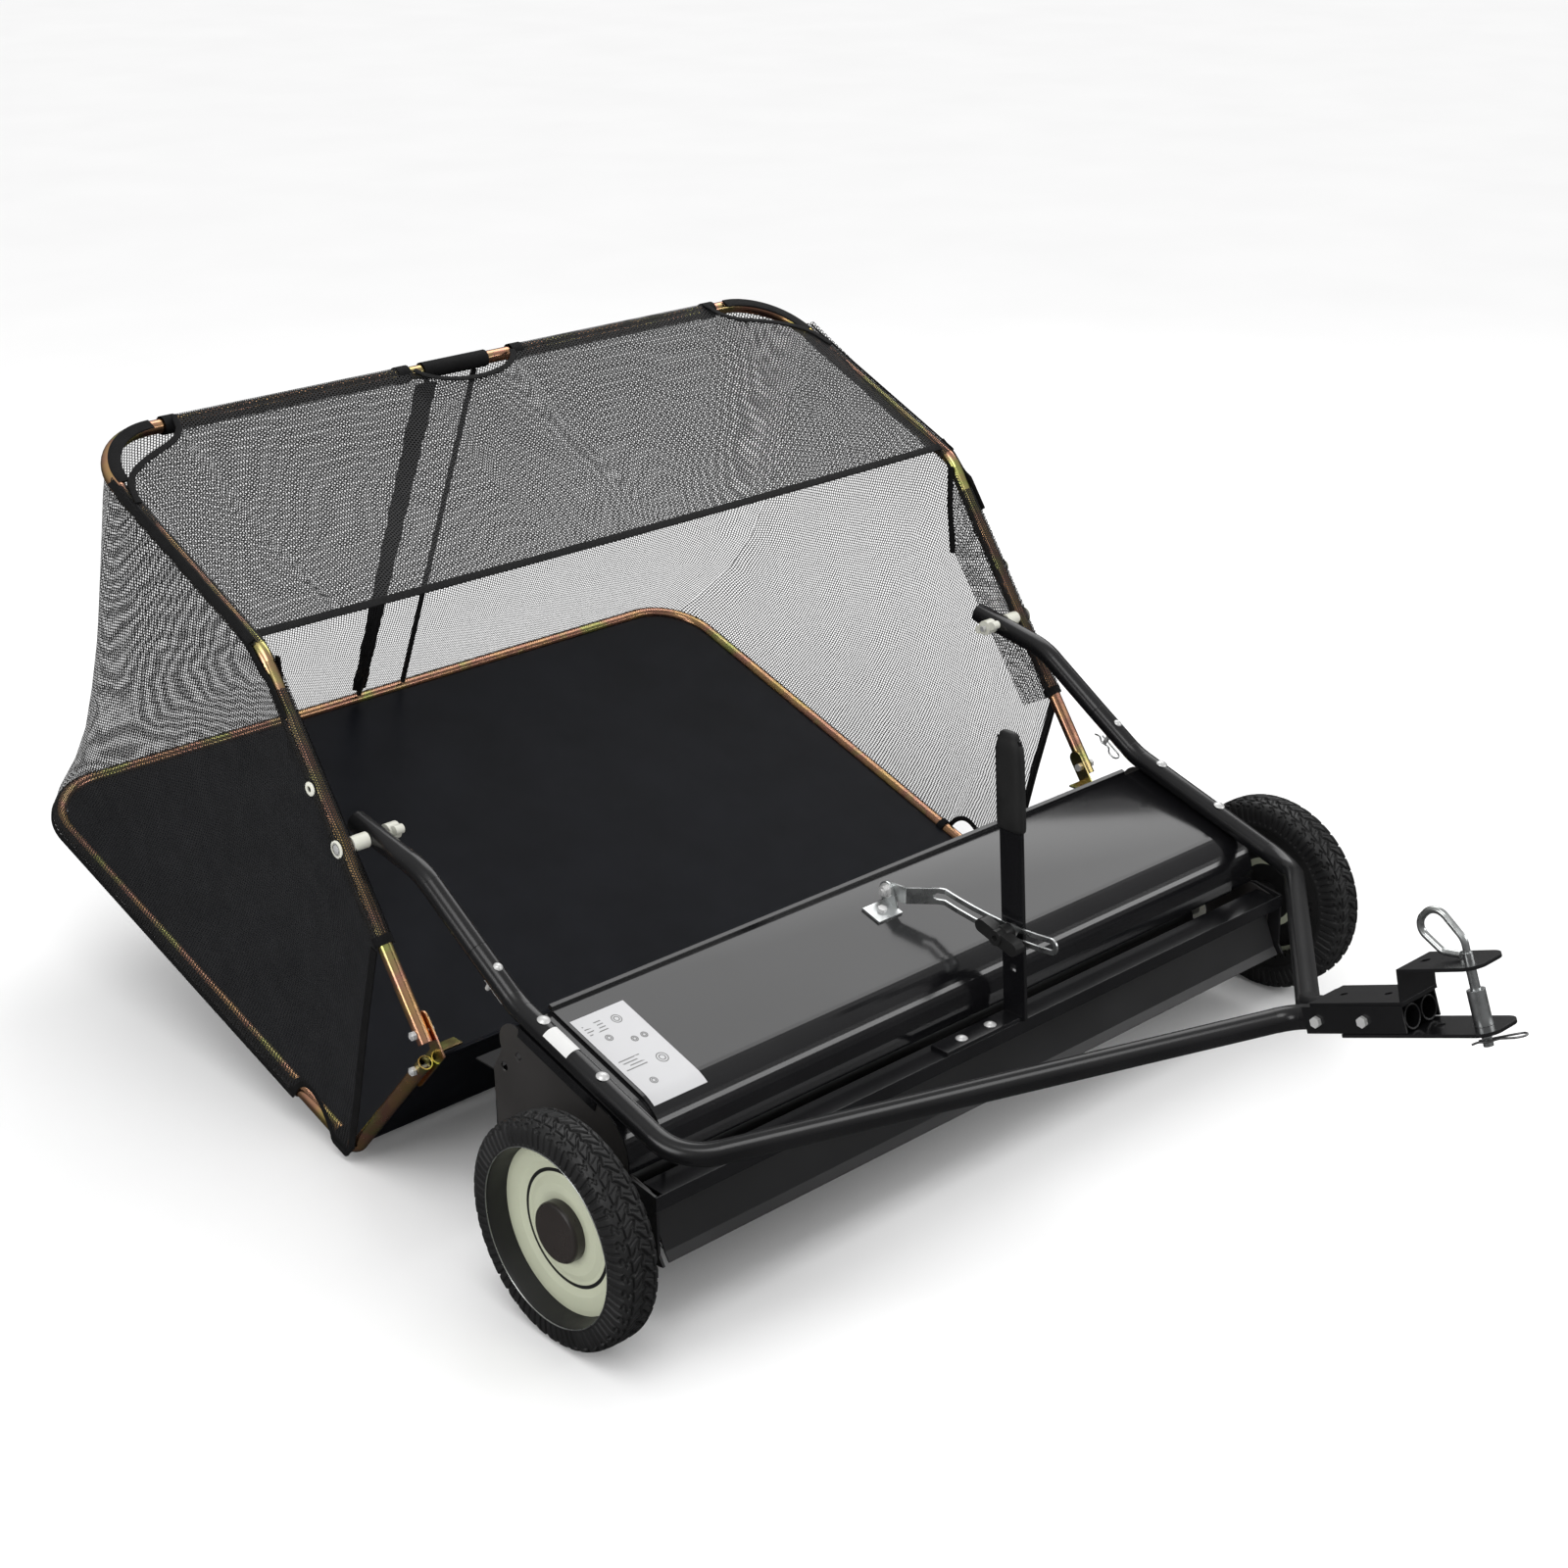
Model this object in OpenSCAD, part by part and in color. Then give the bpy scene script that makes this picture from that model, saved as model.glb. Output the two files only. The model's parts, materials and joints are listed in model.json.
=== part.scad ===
// Tow-behind lawn sweeper: two ground wheels drive a brush that throws leaves into a tipping hopper.
// Millimetres. +X is the machine's left, +Y its rear and +Z up. It stands on its wheels, leaning back.
// Heights are measured from the ground, and fore-and-aft places from the wheel axle.

/* [Overall] */
// Distance from the centre plane to the draw tubes along the housing
tube_x = 557; // [556:0.5:558]
// Slope of the housing top and the draw tubes
slope = 16.4; // [16:0.1:16.8]

/* [Wheels and drive] */
// Radius of the tyre
tyre_r = 140; // [138:1:142]
// Width of the tyre
tyre_w = 56; // [54:1:58]
// Distance from the centre plane to the tyre's inner face
tyre_x = 617; // [616:0.5:620]
// Gear module of the wheel and pinion teeth
gear_module = 3; // [2.9:0.1:3]
// Teeth of the ring gear inside each wheel
ring_teeth = 60; // [60:1:60]
// Teeth of each brush pinion
pinion_teeth = 15; // [15:1:15]
// Drop of the brush shaft below the axle
shaft_drop = 21.5; // [21:0.5:22]
// Radius of the brush
brush_r = 112; // [108:1:113]
// Sections of the brush along its shaft
brush_sections = 6; // [4:1:6]

/* [Housing] */
// Outer radius of the cover's rounded front
front_r = 60; // [58:1:60]
// Thickness of the pressed sheet
sheet = 1.5; // [1.2:0.1:1.6]
// Height of the cover's raised middle above its side ledges
dome_rise = 4; // [3.5:0.5:4.5]

/* [Draw tubes and hitch] */
// Radius of the draw tubes and lift arms
tube_r = 14; // [13.5:0.5:14]
// Wall of the draw tubes and lift arms
tube_wall = 2; // [1.8:0.1:2]
// Slope of the hitch bracket
hitch_slope = 21.6; // [21:0.1:22]
// Length of the hitch bracket
bracket_len = 133; // [130:1:135]
// Radius of the clevis holes
clevis_hole_r = 5.5; // [5.5:0.1:6]

/* [Height lever] */
// Width of the lever bar
lever_w = 36; // [34:1:36]
// Height of the lever's top above the ground
lever_top = 560; // [550:5:570]
// Turn of the quadrant strap for one degree of the wheel frame
strap_ratio = 0.65; // [0.64:0.01:0.66]

/* [Hopper] */
// Radius of the hopper frame tube
frame_r = 9.5; // [9:0.5:9.5]
// Distance from the centre plane to the hopper frame tube
frame_x = 604; // [603:0.5:605]
// Slope of the legs below their bend
leg_slope = 55; // [54.5:0.1:55.5]
// Slope of the hopper's lower rails
rail_slope = 18; // [17.5:0.1:18.2]

/* [Hidden] */

$fn = 48;
running = 0.05; // radial clearance of every turning fit
swell = 0.015; // share of its radius by which a tube thickens in a bend
seam = 40; // turn of a tube's seam away from its bends' plane
axle = [0, tyre_r];
gear_centre = gear_module * (ring_teeth - pinion_teeth) / 2;
shaft = [sqrt(gear_centre * gear_centre - shaft_drop * shaft_drop), tyre_r - shaft_drop];
shaft_r = 8;

// Draw tube centre line: joint with the lift arm, rear bend, front corner, hitch entry and end
tube_front = [tube_x, -100, 236];
tube_bend = tube_front + 296 * [0, cos(slope), sin(slope)];
joint_dir = [0, cos(31.5), sin(31.5)];
tube_joint = tube_bend + 87 * joint_dir;
hitch = [-541, 391];
hitch_dir = [0, -cos(hitch_slope), sin(hitch_slope)];
hitch_tube_x = tube_r + 1;
hitch_entry = [hitch_tube_x, hitch[0], hitch[1]] - 30 * hitch_dir;
hitch_end = [hitch_tube_x, hitch[0], hitch[1]] + bracket_len * hitch_dir;

// Housing: the ledge plane is tangent under the draw tubes
ledge_z = 280;
ledge_y = 100;
cover_rear = 174;
cover_bend = 15;
cover_wall_bottom = 190;
dome_end = 518;
plate_in = 564;
plate_t = 2;
plate_out = plate_in + plate_t;
arm_in = 568.6;
arm_t = 3.5;

// Wheel frame and lever
bar_front = -75;
bar_top = 184;
bar_bottom = 165;
foot_y = -60;
foot_t = 5;
lever_x = 36;
lever_lean = 4.2;
lock = [-52.6, 303];
lock_r = 4;
strap_pivot = [128, 309];
strap_x = 30;
strap_t = 3;
strap_w = 22;
foot_bolt_x = [-60, -8];

// Hopper
leg_foot = [300, 225];
leg_bend = leg_foot + 531 * [cos(leg_slope), sin(leg_slope)];
top_corner = [1005, 835];
low_corner = [479, 18];
rear_corner = low_corner + 803 * [cos(rail_slope), sin(rail_slope)];
rail_len = 803;
lip_dir = (leg_foot - low_corner) / norm(leg_foot - low_corner);
arm_bend = [365, 432];
arm_end = [496, 454.7];
arm_dir = (arm_end - arm_bend) / norm(arm_end - arm_bend);
// Where the leg's line crosses the arm's line
pivot_gap = (leg_foot - arm_bend) * [-sin(leg_slope), cos(leg_slope)];
pivot_turn = arm_dir * [-sin(leg_slope), cos(leg_slope)];
pivot = arm_bend + arm_dir * (pivot_gap / pivot_turn);
pivot_r = 4;
bag_t = 3;
bag_gap = frame_r + 1;

// Clevis ears, in lengths along and above the bracket's centre line
pin_at = 209;
second_hole_at = 154;
ear_top = 57;
ear_bottom = -19;
ear_t = 4;
ear_front = 238;
hairpin_len = 34;
hairpin_r = 7;
hairpin_turn = 54; // direction of the hitch pin's hairpin from the machine's left
wire_r = 1.2;

// The origin is on the ground, under the middle of the whole length
hairpin_w = 31; // depth of the hairpin below the bracket's centre line
hairpin_front = pin_at + (hairpin_len + 0.2) * sin(hairpin_turn)
    + (hairpin_r + 0.2) * cos(hairpin_turn);
front_reach = -hitch[0] + (hairpin_front + hairpin_r - 0.2) * cos(hitch_slope)
    + hairpin_w * sin(hitch_slope) + wire_r * (1 + swell);
rear_reach = rear_corner[0] + frame_r;
axle_y = (front_reach - rear_reach) / 2;

// ---- helpers ----

function unit(v) = v / norm(v);
function turn(a, b, c) = acos(unit(b - a) * unit(c - b));
function setback(a, b, c, bend) = bend * tan(turn(a, b, c) / 2);
function at_x(x, p) = [x, p[0], p[1]];
function turned(p, a) = [p[0] * cos(a) - p[1] * sin(a), p[0] * sin(a) + p[1] * cos(a)];
function cover_z(y, rise) = ledge_z + rise + (y - ledge_y) * tan(slope);

module placed() {
    translate([0, axle_y, 0]) children();
}

module both() {
    children();
    mirror([1, 0, 0]) children();
}

// A flat outline in Y and Z, from x0 to x1
module slab(x0, x1) {
    translate([x0, 0, 0]) rotate([90, 0, 90]) linear_extrude(x1 - x0) children();
}

module round_x(x0, x1, p, r) {
    translate([x0, p[0], p[1]]) rotate([0, 90, 0]) cylinder(r = r, h = x1 - x0);
}

module hex_x(x0, x1, p, r) {
    translate([x0, p[0], p[1]]) rotate([0, 90, 0]) cylinder(r = r, h = x1 - x0, $fn = 6);
}

// A round profile turned about the X axis through a point; profile x is radius, y is along X
module turned_x(x, p) {
    translate([x, p[0], p[1]]) rotate([0, 90, 0]) rotate_extrude($fn = 96) children();
}

module ring(r, wall) {
    difference() {
        circle(r);
        if (wall > 0) circle(r - wall);
    }
}

module straight(a, b, r, wall) {
    d = b - a;
    translate(a) rotate([0, acos(d[2] / norm(d)), atan2(d[1], d[0])])
        linear_extrude(norm(d)) ring(r, wall);
}

// A quarter-or-less bend that starts at the origin along Z and turns towards X
module elbow(angle, bend, r, wall) {
    more = r * swell;
    translate([bend, 0, 0]) rotate([90, 0, 180]) rotate_extrude(angle = angle)
        translate([bend, 0]) rotate(-seam) ring(r + more, wall > 0 ? wall + 2 * more : 0);
}

// How far the next bend's plane is twisted from this one's, about the line between them
function roll(p, i) =
    let (d = unit(p[i + 1] - p[i]), n = unit(cross(p[i] - p[i - 1], d)),
        m = unit(cross(d, p[i + 2] - p[i + 1])))
    atan2(cross(n, m) * d, n * m);

// The run from point i on, drawn along Z with its next bend turning towards X
module tube_from(p, bends, i, r, wall) {
    last = len(p) - 2;
    from = i == 0 ? 0 : setback(p[i - 1], p[i], p[i + 1], bends[i - 1]);
    to = i == last ? 0 : setback(p[i], p[i + 1], p[i + 2], bends[i]);
    run = norm(p[i + 1] - p[i]) - from - to;
    sunk = r * swell;
    // A straight run reaches just inside the bends at its ends
    below = i == 0 ? 0 : sunk;
    translate([0, 0, -below]) linear_extrude(run + below + (i < last ? sunk : 0))
        rotate(seam) ring(r, wall);
    if (i < last) translate([0, 0, run]) {
        angle = turn(p[i], p[i + 1], p[i + 2]);
        elbow(angle, bends[i], r, wall);
        translate([bends[i], 0, 0]) rotate([0, angle, 0]) translate([-bends[i], 0, 0])
            rotate([0, 0, i + 1 < last ? roll(p, i + 1) : 0]) tube_from(p, bends, i + 1, r, wall);
    }
}

// A tube bent along a line of points, with one bend radius for each inner point
module bent_tube(p, bends, r, wall = 0) {
    z = unit(p[1] - p[0]);
    y = unit(cross(z, p[2] - p[1]));
    x = cross(y, z);
    multmatrix([
        [x[0], y[0], z[0], p[0][0]],
        [x[1], y[1], z[1], p[0][1]],
        [x[2], y[2], z[2], p[0][2]],
        [0, 0, 0, 1]])
        tube_from(p, bends, 0, r, wall);
}

// Points beside a line of points, at a distance
function beside(p, gap) = [for (i = [0 : len(p) - 1])
    let (a = unit(i == 0 ? p[1] - p[0] : p[i] - p[i - 1]),
        b = i == len(p) - 1 ? a : unit(p[i + 1] - p[i]),
        n = unit(turned(a, 90) + turned(b, 90)))
    p[i] + n * gap / (n * turned(a, 90))];

function arc(centre, r, from, to, steps) =
    [for (k = [0 : steps]) centre + polar(r, from + (to - from) * k / steps)];

// Outline of a band of width 2 * half along a line of points, with round ends
function ribbon(p, half) =
    let (last = len(p) - 1, left = beside(p, half), right = beside(p, -half),
        first_dir = p[1] - p[0], last_dir = p[last] - p[last - 1],
        first_turn = atan2(first_dir[1], first_dir[0]), last_turn = atan2(last_dir[1], last_dir[0]))
    concat([for (i = [1 : 1 : last - 1]) left[i]],
        arc(p[last], half, last_turn + 90, last_turn - 90, 10),
        [for (i = [last - 1 : -1 : 1]) right[i]],
        arc(p[0], half, first_turn + 270, first_turn + 90, 10));

module band(p, half) {
    polygon(ribbon(p, half));
}

// A plate of width 2 * half whose far corners are rounded
module rounded_end(half, from, to, corner) {
    difference() {
        translate([-half, from]) square([2 * half, to - from]);
        both() translate([half - corner, to - corner]) difference() {
            square(corner + 1);
            circle(corner);
        }
    }
}

// A sheet bent along a line of points in Y and Z, from x0 to x1
module sheet_strip(p, t, x0, x1) {
    slab(x0, x1) band(p, t / 2);
}

// A domed bolt head
module dome(r, rise) {
    ball = (r * r + rise * rise) / (2 * rise);
    intersection() {
        translate([0, 0, rise - ball]) sphere(ball);
        cylinder(r = r, h = rise + 1);
    }
}

module dome_x(x, p, r, rise) {
    translate([x, p[0], p[1]]) rotate([0, 90, 0]) dome(r, rise);
}

// A domed bolt with its head on Z = 0, through a grip and a nut
module carriage_bolt(grip, r, head_r, nut_h) {
    dome(head_r, 3.4);
    translate([0, 0, -grip - nut_h - 3]) cylinder(r = r, h = grip + nut_h + 3.1);
}

module nut(r, hole_r, h) {
    difference() {
        cylinder(r = r, h = h, $fn = 6);
        translate([0, 0, -1]) cylinder(r = hole_r, h = h + 2);
    }
}

// ---- housing ----

module tube_bolt_places() {
    for (y = [141, 36]) {
        z = tube_front[2] + (y - tube_front[1]) * tan(slope);
        translate([tube_x, y, z]) rotate([slope, 0, 0]) children();
    }
}

// Line down the cover in Y and Z, a depth below its raised surface, from the rear edge to the wall foot
function cover_line(depth) =
    let (r = front_r - depth,
        centre = [cover_bend + front_r * sin(slope),
            cover_z(cover_bend, dome_rise) - front_r * cos(slope)],
        bend = arc(centre, r, 90 + slope, 180, 14),
        rear = bend[0] + polar((cover_rear - bend[0][0]) / cos(slope), slope))
    concat([rear], bend, [[centre[0] - r, cover_wall_bottom]]);

module cover_top(x0, x1, depth) {
    slab(x0, x1) band(cover_line(depth + sheet / 2), sheet / 2);
}

// The low wall between the raised middle and a side ledge
module cover_step() {
    low = cover_line(dome_rise + sheet * 0.8);
    slab(dome_end - sheet, dome_end)
        polygon(concat(cover_line(sheet * 0.2), [for (i = [len(low) - 1 : -1 : 0]) low[i]]));
}

module housing_cover() {
    color("#17171a") difference() {
        union() {
            cover_top(-dome_end, dome_end, 0);
            both() {
                cover_top(dome_end - sheet / 2, plate_out + 0.2 + sheet, dome_rise);
                cover_step();
                // Lip turned down outside the end plate
                translate([plate_out + 0.2, cover_bend + 17, cover_z(cover_bend + 17, 0)])
                    rotate([slope, 0, 0]) translate([0, 0, -14])
                    cube([sheet, (cover_rear - cover_bend - 20) / cos(slope), 13.4]);
            }
            // Raised hem along the rear edge
            translate([-dome_end, cover_rear - 1, cover_z(cover_rear, dome_rise) - 2])
                rotate([slope, 0, 0]) cube([2 * dome_end, 6, 6]);
        }
        both() tube_bolt_places() translate([0, 0, -40]) cylinder(r = 3.1, h = 80);
        // Hole for the strap foot's bolt
        strap_foot_frame() translate([-26, 0, -20]) cylinder(r = 3.1, h = 40);
    }
}

// End plate outline: top edge under the ledge, rounded rear corner, front edge behind the front bar
module end_plate_outline() {
    top = -tube_r - sheet - 0.1;
    rear_r = 26;
    difference() {
        union() {
            polygon(concat([[-58, 104], [-58, 182], [-32, 188], [-21, 188]],
                arc([cover_bend + front_r * sin(slope),
                    cover_z(cover_bend, dome_rise) - front_r * cos(slope)],
                    front_r - dome_rise - 3, 180, 90 + slope, 8),
                [[186, cover_z(186, 0) - 2.2 - 8], [226, 226], [222, 130], [190, 60], [-30, 60]]));
            translate([186, cover_z(186, 0) - 2.2 - rear_r - 6]) circle(rear_r);
        }
        translate([177, 259]) rotate(slope + 20) square(9, center = true);
        translate([205, 235]) circle(6);
    }
}

module end_plate() {
    difference() {
        union() {
            slab(plate_in, plate_out) end_plate_outline();
            // Flange under the cover's ledge
            translate([plate_in - 22, 26, cover_z(26, 0) - 2.2])
                rotate([slope, 0, 0]) translate([0, 0, -2]) cube([22 + plate_t, 140 / cos(slope), 2]);
        }
        round_x(plate_in - 5, plate_out + 5, shaft, 13);
        tube_bolt_places() translate([0, 0, -40]) cylinder(r = 3.1, h = 80);
    }
}

module end_plate_left() {
    color("#2b2a2a") end_plate();
}

module end_plate_right() {
    color("#2b2a2a") mirror([1, 0, 0]) end_plate();
}

module rear_apron() {
    color("#131316") {
        translate([-plate_in + 0.1, 226, 220]) cube([2 * plate_in - 0.2, 38, 2]);
        translate([-plate_in + 0.1, 226, 130]) cube([2 * plate_in - 0.2, 2, 91]);
    }
}

// Nylon bushes: the wheel frame swings on their collars and the brush shaft runs in their bores
module brush_bushings() {
    color("#e8e8e2") both() difference() {
        union() {
            round_x(plate_in - 4, plate_in, shaft, 17);
            round_x(plate_in - 1, arm_in + arm_t + 0.4, shaft, 13);
            round_x(arm_in + arm_t + 0.3, arm_in + arm_t + 2.3, shaft, 17);
        }
        round_x(plate_in - 10, arm_in + 20, shaft, shaft_r + running);
    }
}

// ---- draw tubes, lift arms and hitch ----

module clevis_pin_place() {
    p = tube_joint - 36 * joint_dir;
    translate(p) rotate([31.5, 0, 0]) children();
}

module draw_tube() {
    difference() {
        bent_tube([tube_joint, tube_bend, tube_front, hitch_entry, hitch_end],
            [90, 80, 40], tube_r, tube_wall);
        tube_bolt_places() translate([0, 0, -40]) cylinder(r = 3.1, h = 80);
        clevis_pin_place() translate([0, 0, -40]) cylinder(r = 3.3, h = 80);
        for (at = hitch_bolt_at) hitch_frame() translate([-40, 0, 0]) round_x(0, 80, [at, 0], 3.1);
    }
}

module draw_tube_left() {
    color("#1b1b1d") draw_tube();
}

module draw_tube_right() {
    color("#1b1b1d") mirror([1, 0, 0]) draw_tube();
}

// The lift arm: its narrowed front end slides into the draw tube
module lift_arm() {
    slip_r = tube_r - tube_wall - 0.05;
    difference() {
        union() {
            bent_tube([tube_joint + 0.4 * joint_dir, at_x(tube_x, arm_bend), at_x(tube_x, arm_end)],
                [110], tube_r, tube_wall);
            straight(tube_joint - 60 * joint_dir, tube_joint + 4 * joint_dir, slip_r, tube_wall);
            straight(tube_joint + 0.1 * joint_dir, tube_joint + 3 * joint_dir, tube_r - 1, 4);
            // End plug
            straight(at_x(tube_x, arm_end - 3 * arm_dir), at_x(tube_x, arm_end), tube_r - 1, 0);
        }
        round_x(tube_x - 30, tube_x + 30, pivot, pivot_r + running);
        clevis_pin_place() translate([0, 0, -40]) cylinder(r = 3.3, h = 80);
    }
}

module lift_arm_left() {
    color("#1b1b1d") lift_arm();
}

module lift_arm_right() {
    color("#1b1b1d") mirror([1, 0, 0]) lift_arm();
}

module clevis_pins() {
    color("#d5d6d8") both() clevis_pin_place() difference() {
        union() {
            translate([0, 0, -30]) cylinder(r = 3.2, h = 30 + tube_r);
            translate([0, 0, tube_r]) dome(6, 3);
        }
        translate([0, 10, -24]) rotate([90, 0, 0]) cylinder(r = wire_r + 0.1, h = 20);
    }
}

// Spring wire: a straight leg through the pin, a loop, and a leg bent around the pin
module hairpin(len) {
    r = hairpin_r;
    bump = 5.6;
    bent_tube([[-9, 0, 0], [len + r, 0, 0], [len + r, 2 * r, 0], [len - 6, 2 * r, 0],
        [12, bump, 0], [0, bump + 5, 0], [-10, bump - 1, 0], [-16, bump + 4, 0]],
        [r - 0.2, r - 0.2, 8, 6, 5, 4], wire_r);
}

module clevis_hairpins() {
    color("#d5d6d8") both() clevis_pin_place() translate([0, 0, -24]) mirror([1, 0, 0])
        rotate([0, 0, -90]) hairpin(26);
}

module tube_bolts() {
    grip = 2 * tube_r + 4.6;
    color("#e2e2e0") both() tube_bolt_places() {
        translate([0, 0, tube_r]) carriage_bolt(grip, 3, 8, 5);
        translate([0, 0, tube_r - grip - 5]) nut(6.3, 3, 5);
    }
}

hitch_bolt_at = [17, 80];

// Local frame of the hitch: X across, Y along the bracket towards the tractor, Z up from it
module hitch_frame() {
    translate([0, hitch[0], hitch[1]]) rotate([-hitch_slope, 0, 0]) mirror([0, 1, 0]) children();
}

module hitch_bracket() {
    half = 2 * tube_r + 1 + 0.1;
    t = 2.5;
    color("#18181a") hitch_frame() difference() {
        union() {
            both() translate([half, 0, -tube_r - 0.1]) cube([t, bracket_len, 2 * tube_r + 0.2]);
            translate([-half - t, 0, tube_r + 0.1]) cube([2 * (half + t), bracket_len, t]);
        }
        for (at = hitch_bolt_at) round_x(-50, 50, [at, 0], 3.1);
        for (at = [36, 96]) translate([0, at, 0]) cylinder(r = 4.5, h = 40);
    }
}

module ear_outline(from) {
    difference() {
        rounded_end(31, from, ear_front, 20);
        translate([0, pin_at]) circle(clevis_hole_r);
        translate([0, second_hole_at]) circle(clevis_hole_r);
    }
}

// Upper ear: a foot on the bracket, a web up its front and the ear itself
module hitch_ear_upper() {
    foot = tube_r + 2.7;
    color("#1a1a1c") hitch_frame() difference() {
        union() {
            translate([0, 0, ear_top - ear_t]) linear_extrude(ear_t) ear_outline(bracket_len + 5);
            translate([-30.9, bracket_len - 0.5, foot + 1.5])
                rotate([-8, 0, 0]) cube([61.8, ear_t, ear_top - foot - 3]);
            translate([-31, 12, foot]) cube([62, bracket_len - 12 + ear_t, ear_t]);
        }
        for (at = [36, 96]) translate([0, at, 0]) cylinder(r = 4.5, h = 40);
    }
}

module hitch_ear_lower() {
    color("#1a1a1c") hitch_frame() translate([0, 0, ear_bottom])
        linear_extrude(ear_t) ear_outline(46);
}

module hitch_bolts() {
    half = 2 * tube_r + 1 + 0.1 + 2.5;
    color("#dfe0e2") hitch_frame() for (at = hitch_bolt_at) {
        hex_x(-half - 5, -half, [at, 0], 6.5);
        round_x(-half - 1, half + 8, [at, 0], 3);
        difference() {
            hex_x(half, half + 5, [at, 0], 6.5);
            round_x(half - 1, half + 9, [at, 0], 3);
        }
    }
}

// ---- quadrant strap ----

module strap_foot_frame() {
    y = 116;
    translate([0, y, cover_z(y, dome_rise)]) rotate([slope, 0, 0]) children();
}

module strap_foot() {
    color("#c9cccf") difference() {
        union() {
            strap_foot_frame() translate([-46, -16, 0]) cube([42.5, 32, 3]);
            difference() {
                slab(-6, -3) band([[strap_pivot[0] - 8, strap_pivot[1] - 20], strap_pivot], 12);
                strap_foot_frame() translate([-50, -60, -60]) cube([100, 120, 60.4]);
            }
        }
        strap_foot_frame() translate([-26, 0, -5]) cylinder(r = 3.1, h = 20);
        round_x(-20, 20, strap_pivot, 4);
    }
}

module strap_foot_bolt() {
    color("#d9dadc") strap_foot_frame() translate([-26, 0, 0]) {
        translate([0, 0, -14]) cylinder(r = 3, h = 17.5);
        translate([0, 0, 3]) cylinder(r = 6.5, h = 4.5, $fn = 6);
        translate([0, 0, -sheet - 5]) nut(6.3, 3, 5);
    }
}

// Path of the lock bolt, seen from the strap, as the wheel frame swings by a
function slot_point(a) =
    strap_pivot + turned(shaft + turned(lock - shaft, a) - strap_pivot, -strap_ratio * a);

module quadrant_strap() {
    slot = [for (a = [-34 : 8 : 22]) slot_point(a)];
    outline = concat([strap_pivot], slot);
    joggle = [[0, 170], [0, 96], [strap_x + 1.5, 58], [strap_x + 1.5, -260]];
    color("#b9bdc1") difference() {
        intersection() {
            slab(-10, 60) band(outline, strap_w / 2);
            translate([-1.3, 0, 200]) linear_extrude(200) band(joggle, strap_t / 2);
        }
        slab(-10, 60) band(slot, lock_r + 0.6);
        round_x(-20, 20, strap_pivot, pivot_r + running);
    }
}

module strap_pivot_bolt() {
    color("#d9dadc") {
        round_x(-16, 1, strap_pivot, 4);
        round_x(0.4, 4, strap_pivot, 8);
        difference() {
            union() {
                hex_x(-13, -7.6, strap_pivot, 7.5);
                round_x(-7.6, -6, strap_pivot, 10);
            }
            round_x(-20, 0, strap_pivot, 4);
        }
    }
}

// ---- wheel frame: front bar, wheel arms and lever ----

module front_bar() {
    reach = arm_in + arm_t;
    inner = plate_in - 3;
    color("#151517") difference() {
        union() {
            translate([-reach, bar_front, bar_bottom]) cube([2 * reach, 2, bar_top - bar_bottom]);
            translate([-inner, bar_front, bar_top - 2]) cube([2 * inner, 36, 2]);
            translate([-inner, bar_front, bar_bottom]) cube([2 * inner, 24, 2]);
        }
        for (x = foot_bolt_x) translate([x, foot_y, 100]) cylinder(r = 3.1, h = 100);
    }
}

module front_panel() {
    inner = plate_in - 3;
    color("#101013") slab(-inner, inner) polygon([
        [-50.5, bar_bottom - 0.1], [-75.5, 108.6], [-83, 98], [-81.4, 97.2],
        [-73.8, 107.8], [-48.8, bar_bottom - 0.1]]);
}

// Wheel arm: swings on the bush collar, carries the axle and reaches the front bar
module wheel_arm() {
    difference() {
        slab(arm_in, arm_in + arm_t) union() {
            polygon([
                [bar_front + 2.1, bar_top], [bar_front + 2.1, bar_bottom - 0.1],
                [bar_front, bar_bottom - 0.1], [-77, 109], [-85, 97], [-60, 92], [0, 100], [60, 92],
                [90, 110], [84, 140], [30, 176], [-30, 190]]);
            translate(shaft) circle(27);
        }
        round_x(arm_in - 5, arm_in + arm_t + 5, shaft, 13 + running);
        round_x(arm_in - 5, arm_in + arm_t + 5, axle, shaft_r);
    }
}

module wheel_arm_left() {
    color("#19191b") wheel_arm();
}

module wheel_arm_right() {
    color("#19191b") mirror([1, 0, 0]) wheel_arm();
}

module stub_axles() {
    color("#c4c6c9") both() {
        round_x(arm_in - 1, tyre_x + 36.5, axle, shaft_r - 0.02);
        difference() {
            round_x(arm_in + arm_t, tyre_x + 0.6, axle, 12);
            round_x(arm_in, tyre_x, axle, shaft_r - 0.02);
        }
    }
}

module axle_clips() {
    color("#b5b7ba") both() difference() {
        round_x(tyre_x + 33.3, tyre_x + 35, axle, 13);
        round_x(tyre_x, tyre_x + 60, axle, shaft_r);
    }
}

function lever_centre(z) = [-61 + (z - 188) * tan(lever_lean), z];

module lever_section(x0, x1, z0, z1, half) {
    slab(x0, x1) difference() {
        rotate(0) polygon([
            lever_centre(z0) - [half, 0], lever_centre(z0) + [half, 0],
            lever_centre(z1) + [half, 0], lever_centre(z1) - [half, 0]]);
    }
}

module height_lever() {
    color("#141416") difference() {
        union() {
            lever_section(lever_x, lever_x + foot_t, bar_top + 0.1, lever_top - 4, lever_w / 2);
            translate([-100, foot_y - 14, bar_top]) cube([100 + lever_x + 1, 28, foot_t]);
        }
        for (x = foot_bolt_x) translate([x, foot_y, 150]) cylinder(r = 3.1, h = 80);
        round_x(0, 80, lock, lock_r);
        translate([lever_x - 5, lever_centre(252)[0], 252]) rotate([lever_lean, 0, 0])
            translate([0, -4.5, -4.5]) cube([20, 9, 9]);
    }
}

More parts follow.
